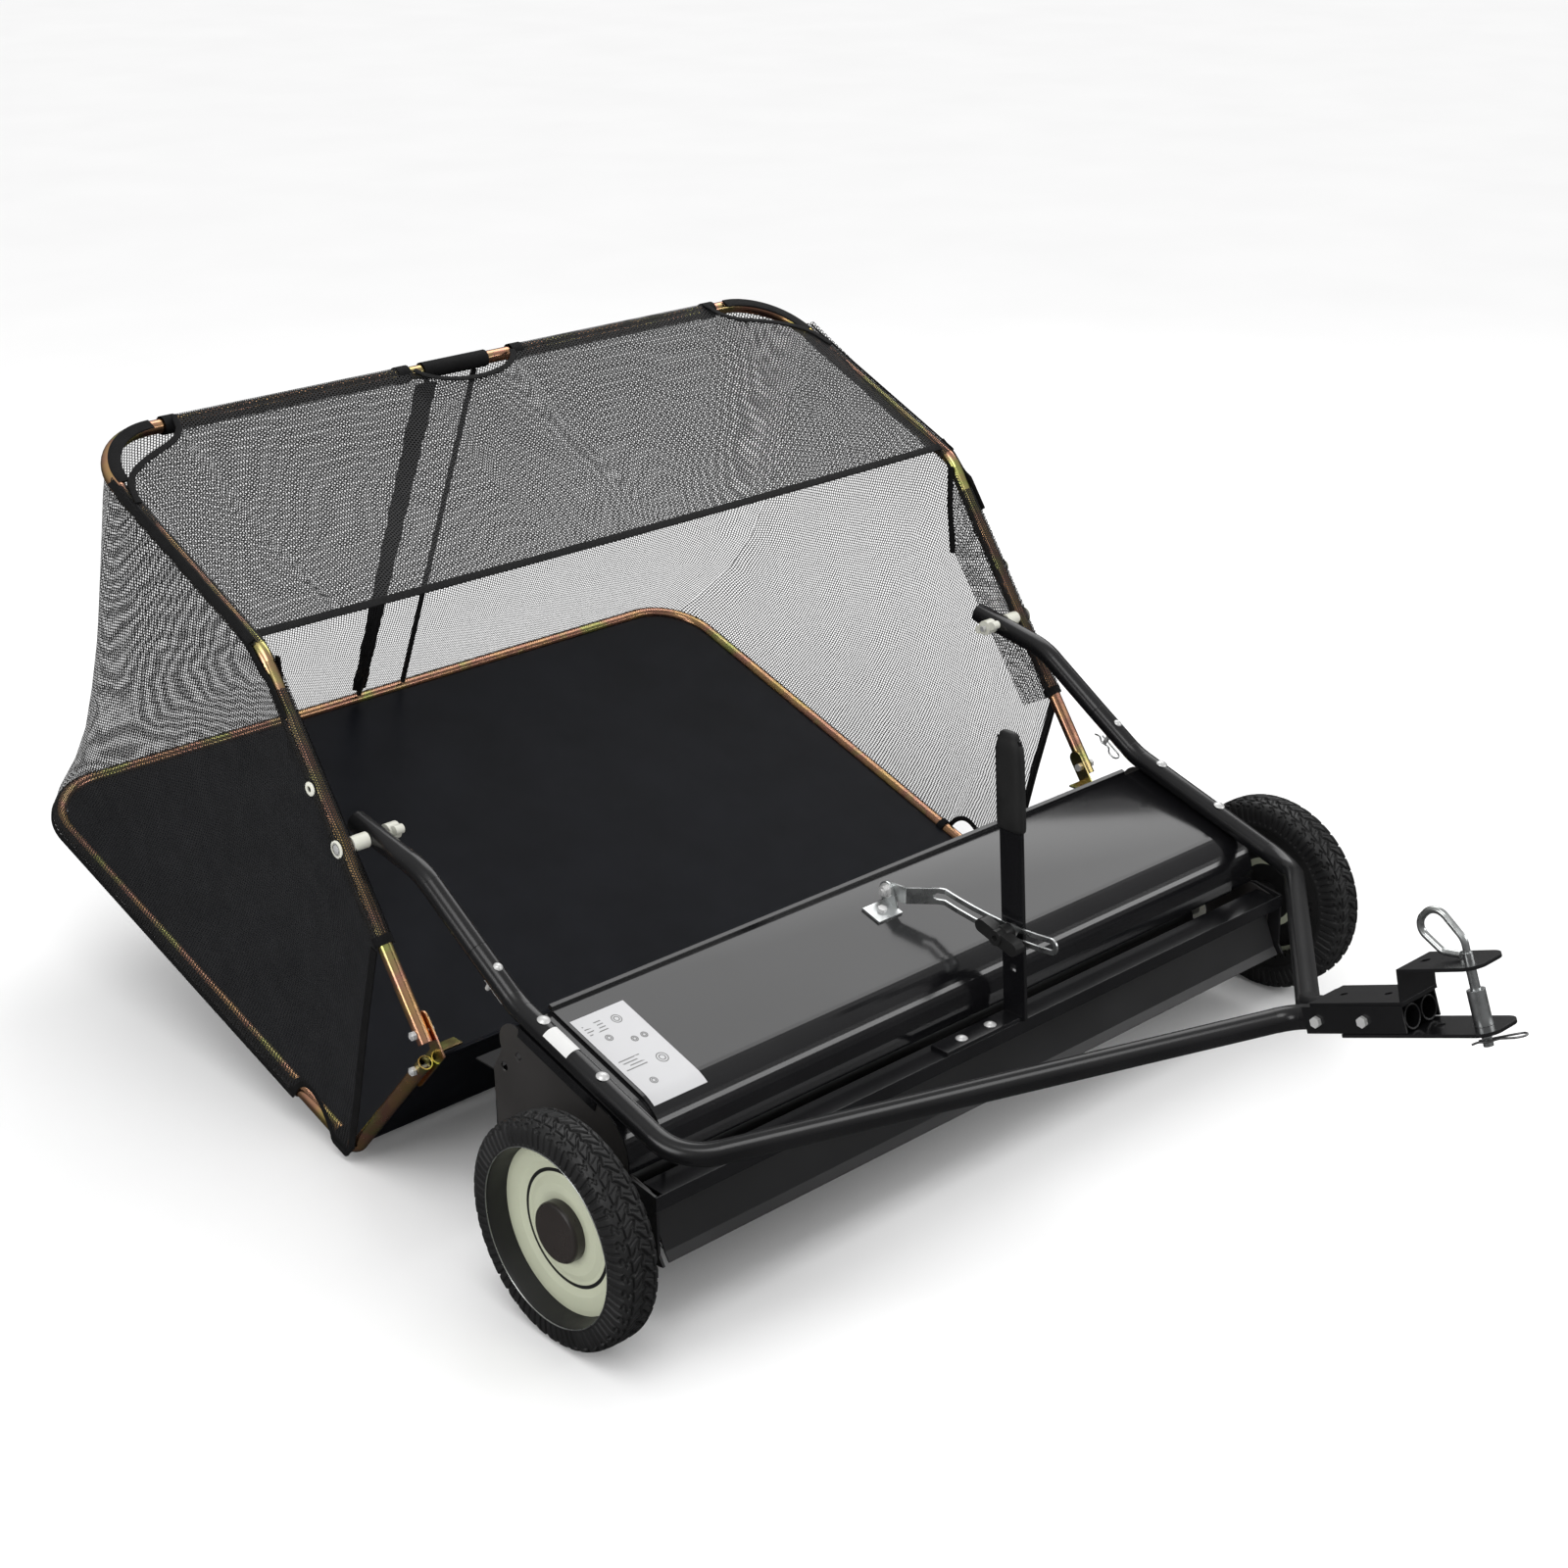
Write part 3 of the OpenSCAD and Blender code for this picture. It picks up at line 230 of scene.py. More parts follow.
def label_paper(name):
    """Generic safety leaflet: pale paper with grey rules and simple round figures, no words."""
    m = Mat(name)
    uv = m.n.new("ShaderNodeUVMap").outputs[0]
    sep = m.n.new("ShaderNodeSeparateXYZ")
    m.link(uv, sep.inputs[0])
    u, v = sep.outputs[0], sep.outputs[1]

    def inside(value, low, high):
        return m.math("MULTIPLY", m.math("GREATER_THAN", value, low), m.math("LESS_THAN", value, high))

    rules = m.math("LESS_THAN", m.math("FRACT", m.math("MULTIPLY", v, 30.0)), 0.34)
    broken = m.math("GREATER_THAN", m.noise(70, 1, (1, 1, 1)), 0.4)
    body = m.math("MULTIPLY", rules, broken)
    block = m.math("MAXIMUM",
                   m.math("MULTIPLY", inside(u, 0.08, 0.42), inside(v, 0.8, 0.93)),
                   m.math("MULTIPLY", inside(u, 0.08, 0.46), inside(v, 0.36, 0.5)))
    ink = m.math("MULTIPLY", body, block)
    for cu, cv, r in ((0.66, 0.86, 0.07), (0.3, 0.72, 0.05), (0.72, 0.36, 0.08), (0.3, 0.2, 0.05),
                      (0.62, 0.62, 0.045), (0.8, 0.62, 0.045)):
        du = m.math("MULTIPLY", m.math("SUBTRACT", u, cu), 0.55)
        dv = m.math("SUBTRACT", v, cv)
        d = m.math("SQRT", m.math("ADD", m.math("MULTIPLY", du, du), m.math("MULTIPLY", dv, dv)))
        for k in (1.0, 0.55):
            near = m.math("LESS_THAN", m.math("ABSOLUTE", m.math("SUBTRACT", d, r * 0.6 * k)), 0.005)
            ink = m.math("MAXIMUM", ink, near)
    mixed = m.range(ink, 0.0, 1.0, 0.0, 1.0)
    m.set(Base_Color=m.ramp(mixed, [(0.0, (0.52, 0.52, 0.53)), (1.0, (0.16, 0.16, 0.16))]),
          Roughness=m.range(m.noise(80, 3), 0.35, 0.5), Normal=m.bump(m.noise(400, 2), 0.05, 0.0003))
    return m.m


BLACK = (0.0045, 0.0045, 0.0052)
M = {
    "gloss": painted("gloss black paint", BLACK, 0.15, coat=0.15),
    "tube": painted("tube paint", (0.005, 0.005, 0.0055), 0.24, orange=0.06, coat=0.1),
    "satin": painted("satin black paint", (0.007, 0.007, 0.0078), 0.4, coat=0.05),
    "plate": painted("end plate paint", (0.026, 0.024, 0.023), 0.45, coat=0.05),
    "floor": painted("blue-black floor paint", (0.0052, 0.006, 0.0088), 0.36, coat=0.0, specular=0.1),
    "zinc": plated("bright zinc", [(0.5, 0.52, 0.53), (0.7, 0.72, 0.72), (0.58, 0.6, 0.58)], 0.3),
    "bolt": plated("zinc bolts", [(0.62, 0.62, 0.62), (0.75, 0.75, 0.74)], 0.35, metal=0.6),
    "gold": plated("iridescent zinc", [(0.6, 0.52, 0.16), (0.82, 0.5, 0.24), (0.72, 0.36, 0.26),
                                       (0.58, 0.6, 0.2), (0.85, 0.64, 0.3)], 0.22, scale=11),
    "steel": plated("plain steel", [(0.25, 0.25, 0.26), (0.36, 0.36, 0.36)], 0.38),
    "nylon": plastic("natural nylon", (0.6, 0.6, 0.53), 0.38, sub=0.2),
    "ivory": plastic("ivory wheel plastic", (0.43, 0.45, 0.34), 0.34, sub=0.1, grain=0.05, spread=0.05),
    "cap": plastic("hub cap plastic", (0.02, 0.0165, 0.015), 0.3, grain=0.2),
    "knob": plastic("black knob plastic", (0.008, 0.008, 0.008), 0.45, grain=0.3),
    "tyre": plastic("tyre rubber", (0.0095, 0.0095, 0.0098), 0.5, grain=0.3, spread=0.25),
    "grip": plastic("grip rubber", (0.008, 0.008, 0.008), 0.55, grain=0.5, spread=0.3),
    "bristle": plastic("bristles", (0.005, 0.005, 0.005), 0.5, grain=0.2, spread=0.4),
    "mesh": mesh_fabric("bag mesh", (0.016, 0.016, 0.017), (0.41, 0.37), (0.37, 0.31)),
    "mesh_thin": mesh_fabric("rear mesh", (0.022, 0.022, 0.023), (0.38, 0.32), (0.36, 0.29)),
    "sleeve": mesh_fabric("sleeve mesh", (0.016, 0.015, 0.014), (0.4, 0.34), (0.4, 0.34), 3.4),
    "hem": mesh_fabric("hem mesh", (0.012, 0.012, 0.011), (0.6, 0.5), (0.5, 0.45), 3.4),
    "tape": webbing("binding tape", (0.005, 0.005, 0.0055)),
    "label": label_paper("instruction label"),
    "sticker": plastic("blank sticker", (0.62, 0.62, 0.61), 0.45, grain=0.05, spread=0.04),
}

CAD_LOOK = {
    "housing_cover": "gloss", "end_plate_right": "plate", "end_plate_left": "plate",
    "rear_apron": "satin", "brush_bushings": "nylon", "draw_tube_right": "tube",
    "draw_tube_left": "tube", "lift_arm_right": "tube", "lift_arm_left": "tube",
    "clevis_pins": "bolt", "clevis_hairpins": "zinc", "tube_bolts": "bolt",
    "hitch_bracket": "tube", "hitch_ear_upper": "tube", "hitch_ear_lower": "tube",
    "hitch_bolts": "bolt", "strap_foot": "zinc", "strap_foot_bolt": "bolt",
    "quadrant_strap": "zinc", "strap_pivot_bolt": "bolt", "front_bar": "gloss",
    "front_panel": "satin", "wheel_arm_right": "satin", "wheel_arm_left": "satin",
    "stub_axles": "steel", "axle_clips": "steel", "height_lever": "gloss", "lever_bolts": "bolt",
    "lock_bolt": "bolt", "lock_knob": "knob", "wheel_right": "ivory", "wheel_left": "ivory",
    "hub_cap_right": "cap", "hub_cap_left": "cap", "brush_shaft": "steel",
    "brush_pinions": "steel", "brush_core": "knob", "upper_frame": "gold", "lower_frame": "gold",
    "hopper_floor": "floor", "hopper_lip": "floor", "corner_brackets": "gold",
    "corner_bolts": "bolt", "support_rods": "satin", "pivot_bolts": "bolt",
    "pivot_spacers": "nylon", "pivot_knob_right": "nylon", "pivot_knob_left": "nylon",
    "hitch_pin": "zinc", "hitch_hairpin": "steel", "hitch_spacer": "zinc",
    "lever_grip": "grip", "tyre_right": "tyre", "tyre_left": "tyre", "brush_bristles": "bristle",
    "bag_roof": "mesh", "bag_side_right": "mesh", "bag_side_left": "mesh", "bag_rear": "mesh",
}
for node, look in CAD_LOOK.items():
    o = NODES[node]
    o.data.materials.clear()
    o.data.materials.append(M[look])
    for poly in o.data.polygons:
        poly.material_index = 0
# The wheels' inner faces, with the ring gears, are black
for node in ("wheel_right", "wheel_left"):
    me = NODES[node].data
    me.materials.append(M["knob"])
    for poly in me.polygons:
        if abs(poly.center.x) < 0.641:
            poly.material_index = 1
for node, o in NODES.items():
    with bpy.context.temp_override(object=o, active_object=o, selected_objects=[o],
                                   selected_editable_objects=[o]):
        bpy.ops.object.shade_smooth_by_angle(angle=math.radians(28))


# ---- building meshes ----

def piece(name, verts, faces, look, body, uvs=None, smooth=True, angle=40):
    me = bpy.data.meshes.new(name)
    me.from_pydata([tuple(map(float, v)) for v in verts], [], [tuple(map(int, f)) for f in faces])
    me.materials.append(M[look])
    if uvs is not None:
        layer = me.uv_layers.new(name="UVMap")
        idx = np.zeros(len(me.loops), dtype=np.int32)
        me.loops.foreach_get("vertex_index", idx)
        layer.data.foreach_set("uv", np.asarray(uvs, dtype=np.float32)[idx].ravel())
    me.polygons.foreach_set("use_smooth", [smooth] * len(me.polygons))
    me.update()
    o = bpy.data.objects.new(name, me)
    bpy.context.scene.collection.objects.link(o)
    if smooth and angle:
        with bpy.context.temp_override(object=o, active_object=o, selected_objects=[o],
                                       selected_editable_objects=[o]):
            bpy.ops.object.shade_smooth_by_angle(angle=math.radians(angle))
    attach(o, body)
    return o


def grid_faces(rows, cols, wrap_cols=False, wrap_rows=False):
    f = []
    for i in range(rows if wrap_rows else rows - 1):
        for j in range(cols if wrap_cols else cols - 1):
            a, b = i * cols + j, i * cols + (j + 1) % cols
            c, d = ((i + 1) % rows) * cols + (j + 1) % cols, ((i + 1) % rows) * cols + j
            f.append((a, b, c, d))
    return f


def rounded(points, bends, step=8.0):
    """A polyline whose inner corners are arcs of the given radii."""
    pts = [np.array(p, float) for p in points]
    out = [pts[0]]
    for i in range(1, len(pts) - 1):
        u = pts[i] - pts[i - 1]
        u /= np.linalg.norm(u)
        w = pts[i + 1] - pts[i]
        w /= np.linalg.norm(w)
        turn = math.acos(max(-1, min(1, float(u @ w))))
        back = bends[i - 1] * math.tan(turn / 2)
        side = w - u * (u @ w)
        side /= np.linalg.norm(side)
        start = pts[i] - u * back
        centre = start + side * bends[i - 1]
        n = max(3, int(turn * bends[i - 1] / step))
        for k in range(n + 1):
            a = turn * k / n
            out.append(centre - side * bends[i - 1] * math.cos(a) + u * bends[i - 1] * math.sin(a))
    out.append(pts[-1])
    return np.array(out)


def resample(path, step):
    d = np.r_[0, np.cumsum(np.linalg.norm(np.diff(path, axis=0), axis=1))]
    n = max(2, int(d[-1] / step) + 1)
    s = np.linspace(0, d[-1], n)
    return np.stack([np.interp(s, d, path[:, k]) for k in range(3)], 1), s


def frames(path, up=(0, 0, 1)):
    t = np.gradient(path, axis=0)
    t /= np.linalg.norm(t, axis=1)[:, None]
    n = np.array(up, float) - t[0] * (t[0] @ np.array(up, float))
    if np.linalg.norm(n) < 1e-3:
        n = np.array([1.0, 0, 0]) - t[0] * t[0][0]
    n /= np.linalg.norm(n)
    ns = []
    for k in range(len(path)):
        n = n - t[k] * (t[k] @ n)
        n /= np.linalg.norm(n)
        ns.append(n.copy())
    ns = np.array(ns)
    return t, ns, np.cross(t, ns)


def sweep(name, path, section, look, body, up=(0, 0, 1), caps=True, jitter=0.0, widths=None, closed=True):
    """A section (list of (a, b) in millimetres) carried along a path in millimetres."""
    t, n, b = frames(path, up)
    sec = np.array(section)
    k = len(sec)
    d = np.r_[0, np.cumsum(np.linalg.norm(np.diff(path, axis=0), axis=1))]
    around = np.r_[0, np.cumsum(np.linalg.norm(np.diff(np.vstack([sec, sec[:1]]), axis=0), axis=1))][:k]
    verts, uvs = [], []
    for i, p in enumerate(path):
        w = 1.0 if widths is None else widths[i]
        for j, (a, c) in enumerate(sec):
            q = p + n[i] * c + b[i] * a * w
            if jitter:
                q = q + nprng.normal(0, jitter, 3)
            verts.append(P(*q))
            uvs.append((around[j], d[i]))
    faces = grid_faces(len(path), k, wrap_cols=closed)
    if caps and closed:
        faces += [tuple(range(k))[::-1], tuple(range((len(path) - 1) * k, len(path) * k))]
    return piece(name, verts, faces, look, body, uvs)


def circle(r, n=16):
    return [(r * math.cos(2 * math.pi * i / n), r * math.sin(2 * math.pi * i / n)) for i in range(n)]


def flat(width, thick, n=3):
    """A thin strip's section, with rounded edges."""
    w, h = width / 2 - thick / 2, thick / 2
    right = [(w + h * math.cos(a), h * math.sin(a)) for a in np.linspace(-math.pi / 2, math.pi / 2, n + 2)]
    left = [(-w - h * math.cos(a), -h * math.sin(a)) for a in np.linspace(-math.pi / 2, math.pi / 2, n + 2)]
    return right + left


def coons(bottom, top, left, right, nu, nv):
    """Surface points between four edge curves given as functions of 0..1."""
    u = np.linspace(0, 1, nu)
    v = np.linspace(0, 1, nv)
    B, T = np.array([bottom(a) for a in u]), np.array([top(a) for a in u])
    L, R = np.array([left(a) for a in v]), np.array([right(a) for a in v])
    U, V = u[None, :, None], v[:, None, None]
    return ((1 - V) * B[None] + V * T[None] + (1 - U) * L[:, None] + U * R[:, None]
            - (1 - U) * (1 - V) * B[0] - U * (1 - V) * B[-1] - (1 - U) * V * T[0] - U * V * T[-1])


def along(points):
    """A function of 0..1 running along a polyline at even speed."""
    p = np.array(points, float)
    d = np.r_[0, np.cumsum(np.linalg.norm(np.diff(p, axis=0), axis=1))]
    return lambda s: np.array([np.interp(s * d[-1], d, p[:, k]) for k in range(3)])


def cloth(name, grid, look, body, flip=False):
    """A soft sheet through a grid of points, with millimetre UVs; its outside is U cross V, or the other if flipped."""
    nv, nu = grid.shape[:2]
    du = np.cumsum(np.r_[0, np.linalg.norm(np.diff(grid[nv // 2], axis=0), axis=1)])
    dv = np.cumsum(np.r_[0, np.linalg.norm(np.diff(grid[:, nu // 2], axis=0), axis=1)])
    verts = [P(*p) for p in grid.reshape(-1, 3)]
    uvs = [(du[j], dv[i]) for i in range(nv) for j in range(nu)]
    faces = grid_faces(nv, nu)
    return piece(name, verts, [f[::-1] for f in faces] if flip else faces, look, body, uvs, angle=0)


# ---- tyres ----

def smooth_line(points, n):
    p = np.array(points, float)
    for _ in range(2):
        q = [p[0]]
        for a, b in zip(p[:-1], p[1:]):
            q += [a * 0.75 + b * 0.25, a * 0.25 + b * 0.75]
        q.append(p[-1])
        p = np.array(q)
    d = np.r_[0, np.cumsum(np.linalg.norm(np.diff(p, axis=0), axis=1))]
    s = np.linspace(0, d[-1], n)
    return np.stack([np.interp(s, d, p[:, k]) for k in range(2)], 1)


def step_up(x, low, high):
    return np.clip((x - low) / (high - low), 0, 1)


def tyre(name, side, body, node):
    """Round tyre with ribbed side walls, shoulder blocks, two rows of bent blocks and a zigzag groove."""
    profile = [(1.5, 104.2), (0.6, 107), (1.0, 118), (1.6, 128), (3.6, 134.5), (7.5, 138.6), (14, 139.9),
               (28, 140), (42, 139.9), (48.6, 138.6), (52.6, 134.5), (54.8, 128), (55.6, 118),
               (55.8, 110.5), (54.6, 108.2), (48, 106.8), (36, 105.2), (28.2, 104.3)]
    line = smooth_line(profile, 120)
    tang = np.gradient(line, axis=0)
    norm = np.stack([-tang[:, 1], tang[:, 0]], 1)
    norm /= np.linalg.norm(norm, axis=1)[:, None]
    mid = line - np.array([28, 118])
    norm *= np.sign((norm * mid).sum(1))[:, None]
    n_around = 1080
    th = np.linspace(0, 2 * math.pi, n_around, endpoint=False)[:, None]
    a, r = line[:, 0][None, :], line[:, 1][None, :]
    depth = np.zeros((n_around, len(line)))
    blocks = 44
    ribs = 76
    phase = th * blocks / (2 * math.pi)
    tread = (r > 136.5) & (a > 12.5) & (a < 43.5)
    zig = 2.2 * (2 * np.abs(2 * ((phase * 1.0) % 1) - 1) - 1)
    centre = 1 - step_up(np.abs(a - 28 - zig), 1.0, 1.7)
    bend = np.where(a < 28, (a - 20.5) / 7.5, (35.5 - a) / 7.5)
    cross = (phase + 0.28 * np.sin(bend * math.pi / 2) * 1.2 + np.where(a < 28, 0, 0.5)) % 1
    row = 1 - step_up(np.abs(cross - 0.5), 0.09, 0.15)
    sipe = (phase + 0.2 * bend + 0.5 + np.where(a < 28, 0, 0.5)) % 1
    sipe = (1 - step_up(np.abs(sipe - 0.5), 0.03, 0.07)) * (np.abs(bend) < 0.75)
    depth = np.where(tread, np.maximum(np.maximum(centre, row) * 3.2, sipe * 1.6), depth)
    ring = np.maximum(1 - step_up(np.abs(a - 13.2), 0.7, 1.3), 1 - step_up(np.abs(a - 42.8), 0.7, 1.3))
    depth = np.maximum(depth, ring * 2.8 * (r > 136.5))
    shoulder = (~tread) & (r > 131) & ((a < 13) | (a > 43))
    lug = (phase * 1.0 + 0.15 * np.sin(a)) % 1
    lug_cut = 1 - step_up(np.abs(lug - 0.5), 0.13, 0.2)
    depth = np.where(shoulder, np.maximum(depth, lug_cut * 3.0), depth)
    wall = (r > 110.5) & (r <= 134.5) & ((a > 45) | (a < 10))
    rib = (th * ribs / (2 * math.pi)) % 1
    rib_cut = 1 - step_up(np.abs(rib - 0.5), 0.13, 0.2)
    fade = step_up(r, 110.5, 112.5)
    depth = np.where(wall, np.maximum(depth * (r > 131), rib_cut * 1.9 * fade), depth)
    pa = a - depth * norm[:, 0][None, :]
    pr = r - depth * norm[:, 1][None, :]
    x = side * (617 + pa)
    y = pr * np.cos(th)
    z = 140 + pr * np.sin(th)
    verts = np.stack([x, y, z], 2).reshape(-1, 3)
    verts = verts / 1000 + np.array([0, AXLE_Y, 0])
    faces = grid_faces(n_around, len(line), wrap_rows=True)
    o = piece(name, verts, faces, "tyre", body, angle=35)
    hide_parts(node)
    return o


tyre("tyre_rubber_right", -1, "right_wheel", "tyre_right")
tyre("tyre_rubber_left", 1, "left_wheel", "tyre_left")
for side, body in ((-1, "right_wheel"), (1, "left_wheel")):
    # Thin bright zinc ring where the tyre's bead meets its mouth: a painted highlight line along the bead
    t = np.linspace(0, 2 * math.pi, 97)[:-1]
    ring_v, ring_f = [], []
    for ang in t:
        for k in range(8):
            q = 2 * math.pi * k / 8
            rr = 108.9 + 0.7 * math.cos(q)
            ring_v.append(P(side * (617 + 55.3 + 0.7 * math.sin(q)), rr * math.cos(ang), 140 + rr * math.sin(ang)))
    piece("painted_bead_highlight_" + ("right" if side < 0 else "left"), ring_v,
          grid_faces(len(t), 8, wrap_cols=True, wrap_rows=True), "zinc", body)


# ---- brush ----

def bristles():
    box_lo, box_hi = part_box("brush_bristles")
    x0, x1 = box_lo[0] * 1000, box_hi[0] * 1000
    sections = 6
    pitch = (x1 - x0 + 6) / sections
    verts, faces = [], []
    for i in range(sections):
        for k in range(4):
            base = math.radians(90 * k + (17 if i < sections / 2 else 30))
            for _ in range(420):
                x = x0 + pitch * i + rng.uniform(0, pitch - 6)
                off = rng.uniform(-5.5, 5.5)
                lean_x, lean_a = rng.gauss(0, 3.0), rng.gauss(0, 0.03)
                length = rng.uniform(106, 112.5)
                ring = []
                for rad, wide in ((20.5, 0.9), (70, 0.85), (length, 0.7)):
                    s = (rad - 20) / 90
                    ang = base + off / max(rad, 30) * (1 + s * 0.8) + lean_a * s * s
                    cx, cr = x + lean_x * s * s, rad
                    cy, cz = math.cos(ang), math.sin(ang)
                    for q in range(3):
                        w = 2 * math.pi * q / 3
                        dx, dt = wide * math.cos(w), wide * math.sin(w)
                        y = SHAFT[1] + cr * cy - dt * cz
                        z = SHAFT[2] + cr * cz + dt * cy
                        ring.append(P(cx + dx, y, z))
                b = len(verts)
                verts += ring
                for s in (0, 3):
                    for q in range(3):
                        faces.append((b + s + q, b + s + (q + 1) % 3, b + s + 3 + (q + 1) % 3, b + s + 3 + q))
                faces.append((b + 6, b + 7, b + 8))
                faces.append((b + 2, b + 1, b))
    o = piece("bristle_rows", verts, faces, "bristle", "brush", smooth=False)
    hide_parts("brush_bristles")


bristles()


# ---- lever grip ----

def grip():
    lean = math.tan(math.radians(4.2))
    verts, n = [], 28
    levels = [(436, 19.5, 6.2), (438, 21.5, 7.6), (446, 22, 8.2), (470, 21.5, 8.3), (500, 21.3, 8.3),
              (530, 21.5, 8.3), (546, 20.5, 8.0), (553, 17, 7.0), (557, 14.5, 6.0), (560, 14.5, 5.6),
              (563, 12.5, 5.0), (565, 8, 3.4)]
    for z, hy, hx in levels:
        cy = -61 + (z - 188) * lean
        for k in range(n):
            a = 2 * math.pi * k / n
            c, s = math.cos(a), math.sin(a)
            e = 0.62
            verts.append(P(38.5 + hx * math.copysign(abs(s) ** e, s), cy + hy * math.copysign(abs(c) ** e, c), z))
    faces = grid_faces(len(levels), n, wrap_cols=True)
    faces += [tuple(range(n))[::-1], tuple(range((len(levels) - 1) * n, len(levels) * n))]
    o = piece("grip_sleeve", verts, faces, "grip", "height_frame", angle=0)
    sub = o.modifiers.new("round", "SUBSURF")
    sub.levels = sub.render_levels = 1
    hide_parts("lever_grip")


grip()


# ---- mesh bag ----

FX = 604.0
LEG, BEND, TOP = np.array([300, 225.0]), np.array([604.6, 660.0]), np.array([1005, 835.0])
LOW = np.array([479, 18.0])
RAIL = np.array([math.cos(math.radians(18)), math.sin(math.radians(18))])
REAR = LOW + 803 * RAIL


def yz(x, p):
    return (x, p[0], p[1])


upper_half = rounded([yz(-FX, LEG), yz(-FX, BEND), yz(-FX, TOP), yz(0, TOP)], [60, 100])
lower_half = rounded([yz(-FX, LOW), yz(-FX, REAR), yz(0, REAR)], [90])
OUT = FX + 10.8
# Line that the bag's lower hem follows: just outside and below the lower tube
UNDER = np.array([0, 0.309, -0.951]) * 8
hem_half = rounded([yz(-OUT, LOW), yz(-OUT, REAR + 10.8 * RAIL), yz(0, REAR + 10.8 * RAIL)], [100.8], 4) + UNDER
HALF_BEND = int(np.argmin(np.abs(hem_half[:, 0] + OUT - 29.5)))
SEAM = [tuple(np.abs(hem_half[HALF_BEND])), (600, 1180, 296), (609, 1105, 366), (612, 1058, 428),
        (613, 1026, 495), (613, 998, 568), (613, 975, 646), (613, 955, 704), (613, 935, 762),
        (613, 921, 796), (613, 912, 812)]
leg_u = (BEND - LEG) / np.linalg.norm(BEND - LEG)
top_u = (TOP - BEND) / np.linalg.norm(TOP - BEND)
MOUTH = [(OUT, 389, 338), (OUT, 425, 205), (OUT, 452, 96), (OUT, 470, 30)]


def gap_lift(s):
    """Height of the hem above the lower tube, s millimetres from the front corner: a small half-moon opening."""
    return 34 * math.sin(math.pi * (s - 34) / 92) ** 0.7 if 34 < s < 126 else 0.0


def side_bottom(sx):
    pts = [(OUT, 470, 30)]
    for s in [4, 20, 33] + list(range(36, 128, 6)) + [135, 160]:
        q = LOW + s * RAIL
        pts.append((OUT, q[0] + UNDER[1] * (gap_lift(s) < 1), q[1] + UNDER[2] + gap_lift(s) * 1.25))
    for q in hem_half[:HALF_BEND + 1]:
        if q[1] > 640:
            pts.append(tuple(np.abs(q)))
    return [(sx * a, b, c) for a, b, c in pts]


def side_panel(sx, name, node):
    bottom = along(side_bottom(1))
    front = along(MOUTH[::-1])
    leg_line = [(OUT, *(LEG + leg_u * s + [-6, 4])) for s in (146, 250, 350, 440, 480, 508)]
    top = along([(OUT, 389, 338)] + leg_line + [(OUT, *(BEND + [6, 4])), (OUT, *(BEND + [22, 17])),
                (OUT, *(BEND + (TOP - BEND) * 0.45 + [-2, 6])), (613, 912, 812)])
    rear = along(SEAM)
    nu, nv = 110, 80
    g = coons(bottom, top, front, rear, nu, nv)
    u = np.linspace(0, 1, nu)[None, :]
    v = np.linspace(0, 1, nv)[:, None]
    belly = (4 * u * (1 - u)) * (4 * v * (1 - v))
    g[:, :, 0] -= 13 * belly
    g[:, :, 0] += 2.4 * np.sin(9 * u + 4 * v) * np.sin(7 * v + 1.3) * belly + 1.2 * np.sin(23 * u - 6 * v) * belly
    gather = np.exp(-(1 - v) * 9) * (1 - np.abs(2 * u - 1) ** 4) * (1 - v) * 4
    g[:, :, 0] += 2.2 * np.sin(110 * u) * gather
    g[:, :, 0] *= sx
    o = cloth(name, g, "mesh", "hopper", flip=sx < 0)
    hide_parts(node)


side_panel(-1, "mesh_side_right", "bag_side_right")
side_panel(1, "mesh_side_left", "bag_side_left")


def leg_hem(sx, name):
    """The doubled strip of mesh along the leg, inside the side panel."""
    outer = [(FX - 11, *(LEG + leg_u * s + [-6, 4])) for s in (142, 250, 350, 450, 500)]
    outer += [(FX - 11, *(BEND + [14, 10]))]
    inner = [(FX - 13, 430, 316), (FX - 14, 523, 446), (FX - 14, 581, 524), (FX - 13, 590, 590), (FX - 11, 592, 650)]
    a, b = along(outer), along(inner)
    nu, nv = 8, 60
    g = np.array([[a(v) * (1 - u) + b(v) * u for u in np.linspace(0, 1, nu)] for v in np.linspace(0, 1, nv)])
    for i in range(nv):
        g[i, 1:-1, 0] += 1.6 * math.sin(i * 0.9)
    g[:, :, 0] *= sx
    cloth(name, g, "mesh", "hopper", flip=sx < 0)


leg_hem(-1, "leg_hem_right")
leg_hem(1, "leg_hem_left")


def dip(x):
    """How far the roof's rear edge is cut away from the top rail at x."""
    d = 0.0
    for c, w, deep in ((0, 88, 52), (-545, 78, 62), (545, 78, 62)):
        k = abs(x - c) / w
        if k < 1:
            d = max(d, deep * math.sqrt(1 - k * k) ** 0.9)
    return d


def roof_rear(x):
    """Point on the roof's rear edge: over the rail, or on the edge of a cut-out."""
    ax = abs(x)
    y, z = 1003.0, 846.0
    if ax > 504:
        a = min(1, (ax - 504) / 100)
        y = 905 + 100 * math.sqrt(max(0, 1 - a * a)) - 2
        slope = (835 - 660) / (1005 - 604.6)
        z = 846 + (y - 1003) * slope
    slope = (835 - 660) / (1005 - 604.6)
    d = dip(x)
    return np.array([x, y - d * 0.92, z - d * 0.92 * slope])


